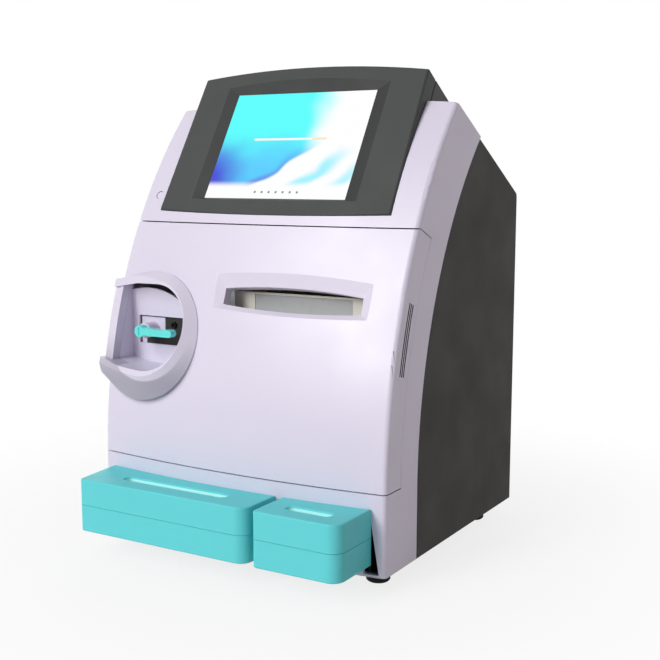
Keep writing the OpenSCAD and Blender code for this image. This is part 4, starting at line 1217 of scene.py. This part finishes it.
@dataclass
class Studio:
    """Pale floor, soft lamps and the camera of the photograph."""

    eye: Vector = field(default_factory=lambda: Vector((0.63031, -1.00104, 0.38842)))
    yaw: float = math.radians(30.678)
    pitch: float = math.radians(7.988)
    roll: float = math.radians(0.09)
    sensor: float = 36.0
    focal_pixels: float = 1108.25
    frame_pixels: float = 660.0
    floor_half: float = 12.0
    floor_colour: Colour = (0.86, 0.83, 0.84)
    floor_roughness: float = 0.9
    shadow_reach: float = 0.7
    shadow_share: float = 0.22
    sky: float = 0.24
    sky_colour: Colour = (1.0, 0.90, 0.91)

    def build(self) -> None:
        """Sets up everything that isn't the object."""
        self._camera()
        self._floor()
        self._world()
        for lamp in Lamp:
            self._hang(lamp)
        bpy.context.scene.view_settings.view_transform = "Standard"

    def _camera(self) -> None:
        """Puts the camera where the photograph was taken."""
        data = bpy.data.cameras.new("photo_camera")
        data.lens = self.sensor * self.focal_pixels / self.frame_pixels
        data.sensor_width = self.sensor
        camera = bpy.data.objects.new("photo_camera", data)
        turn = (
            Matrix.Rotation(self.yaw, 4, "Z")
            @ Matrix.Rotation(math.pi / 2 - self.pitch, 4, "X")
            @ Matrix.Rotation(self.roll, 4, "Z")
        )
        camera.matrix_world = Matrix.Translation(self.eye) @ turn
        bpy.context.collection.objects.link(camera)
        bpy.context.scene.camera = camera

    def _floor(self) -> None:
        """Lays the pale floor, white to the eye but able to take a shadow."""
        shape = bmesh.new()
        bmesh.ops.create_grid(shape, x_segments=1, y_segments=1, size=self.floor_half)
        mesh = bpy.data.meshes.new("studio_floor")
        shape.to_mesh(mesh)
        shape.free()
        floor = bpy.data.objects.new("studio_floor", mesh)
        bpy.context.collection.objects.link(floor)
        material = bpy.data.materials.new("studio_floor")
        material.use_nodes = True
        wire = Wiring(material.node_tree)
        shader = wire.tree.nodes["Principled BSDF"]
        shader.inputs["Base Color"].default_value = (*self.floor_colour, 1)
        shader.inputs["Roughness"].default_value = self.floor_roughness
        shader.inputs["Specular IOR Level"].default_value = 0.0
        glow = wire.node("Emission")
        glow.inputs["Color"].default_value = (1, 1, 1, 1)
        share = wire.combine("MULTIPLY", self._seen(wire), self._clear_of_object(wire))
        surface = wire.either(share, shader.outputs["BSDF"], glow.outputs["Emission"])
        wire.feed(wire.tree.nodes["Material Output"].inputs["Surface"], surface)
        mesh.materials.append(material)

    def _clear_of_object(self, wire: Wiring) -> Socket:
        """Gives the floor's share of plain white: less round the object, all of it further out.

        Args:
            wire: The floor's wiring.

        Returns:
            The share.
        """
        ball = wire.node("TexGradient")
        ball.gradient_type = "SPHERICAL"
        wire.feed(ball.inputs["Vector"], wire.remap(wire.spot(), "Scale", (1 / self.shadow_reach,) * 3))
        return wire.spread(ball.outputs["Fac"], (0.0, 1.0), (1.0, 1.0 - self.shadow_share), soft=True)

    @staticmethod
    def _seen(wire: Wiring) -> Socket:
        """Marks the rays that reach the eye straight, by reflection or through glass.

        Args:
            wire: The wiring of the floor or the world.

        Returns:
            1 on these rays and 0 on the others.
        """
        path = wire.node("LightPath").outputs
        seen = path["Is Camera Ray"]
        for key in ("Is Glossy Ray", "Is Transmission Ray"):
            seen = wire.combine("MAXIMUM", seen, path[key])
        return seen

    def _world(self) -> None:
        """Makes the surroundings white to the eye and an even grey as light."""
        world = bpy.data.worlds.new("studio")
        bpy.context.scene.world = world
        world.use_nodes = True
        wire = Wiring(world.node_tree)
        light = wire.tree.nodes["Background"]
        light.inputs["Color"].default_value = (*self.sky_colour, 1)
        light.inputs["Strength"].default_value = self.sky
        white = wire.node("Background")
        white.inputs["Color"].default_value = (1, 1, 1, 1)
        white.inputs["Strength"].default_value = 1.0
        both = wire.either(self._seen(wire), light.outputs["Background"], white.outputs["Background"])
        wire.feed(wire.tree.nodes["World Output"].inputs["Surface"], both)

    @staticmethod
    def _hang(lamp: Lamp) -> None:
        """Hangs one far soft lamp.

        Args:
            lamp: Which lamp it is.
        """
        toward, strength, spread = lamp.value
        data = bpy.data.lights.new(f"{lamp.name.lower()}_lamp", "SUN")
        data.energy = strength
        data.angle = math.radians(spread)
        hung = bpy.data.objects.new(data.name, data)
        hung.rotation_euler = Vector(toward).to_track_quat("Z", "Y").to_euler()
        bpy.context.collection.objects.link(hung)


def screen_finish() -> ScreenFinish:
    """Works out the screen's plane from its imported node.

    Returns:
        The finish of the lit screen.
    """
    low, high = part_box("touch_screen")
    rim, glass = 3.7 * MM, 2.0 * MM
    rise, lean = math.cos(SCREEN_TILT), math.sin(SCREEN_TILT)
    corner = Vector((low.x + rim, low.y, low.z))
    foot = rim * Vector((0.0, lean, rise))
    depth = glass * lean
    width = high.x - low.x - 2 * rim
    height = (high.z - low.z - depth) / rise - 2 * rim
    return ScreenFinish(tuple(corner + foot + Vector((0, 0, depth))), SCREEN_TILT, width, height)


def main() -> None:
    """Builds the dressed model and the studio."""
    logging.basicConfig(level=logging.INFO, format="%(message)s")
    for stale in list(bpy.data.objects):
        bpy.data.objects.remove(stale)
    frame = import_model()
    bench = Workbench(frame, FinishBook(screen_finish()))
    bench.paint_frame()
    for assembly in (Shells, Monitor, SamplingStation, PrinterBay, ReagentPacks, FluidDeck, RearFittings):
        assembly(bench).build()
    Studio().build()


if __name__ == "__main__":
    main()
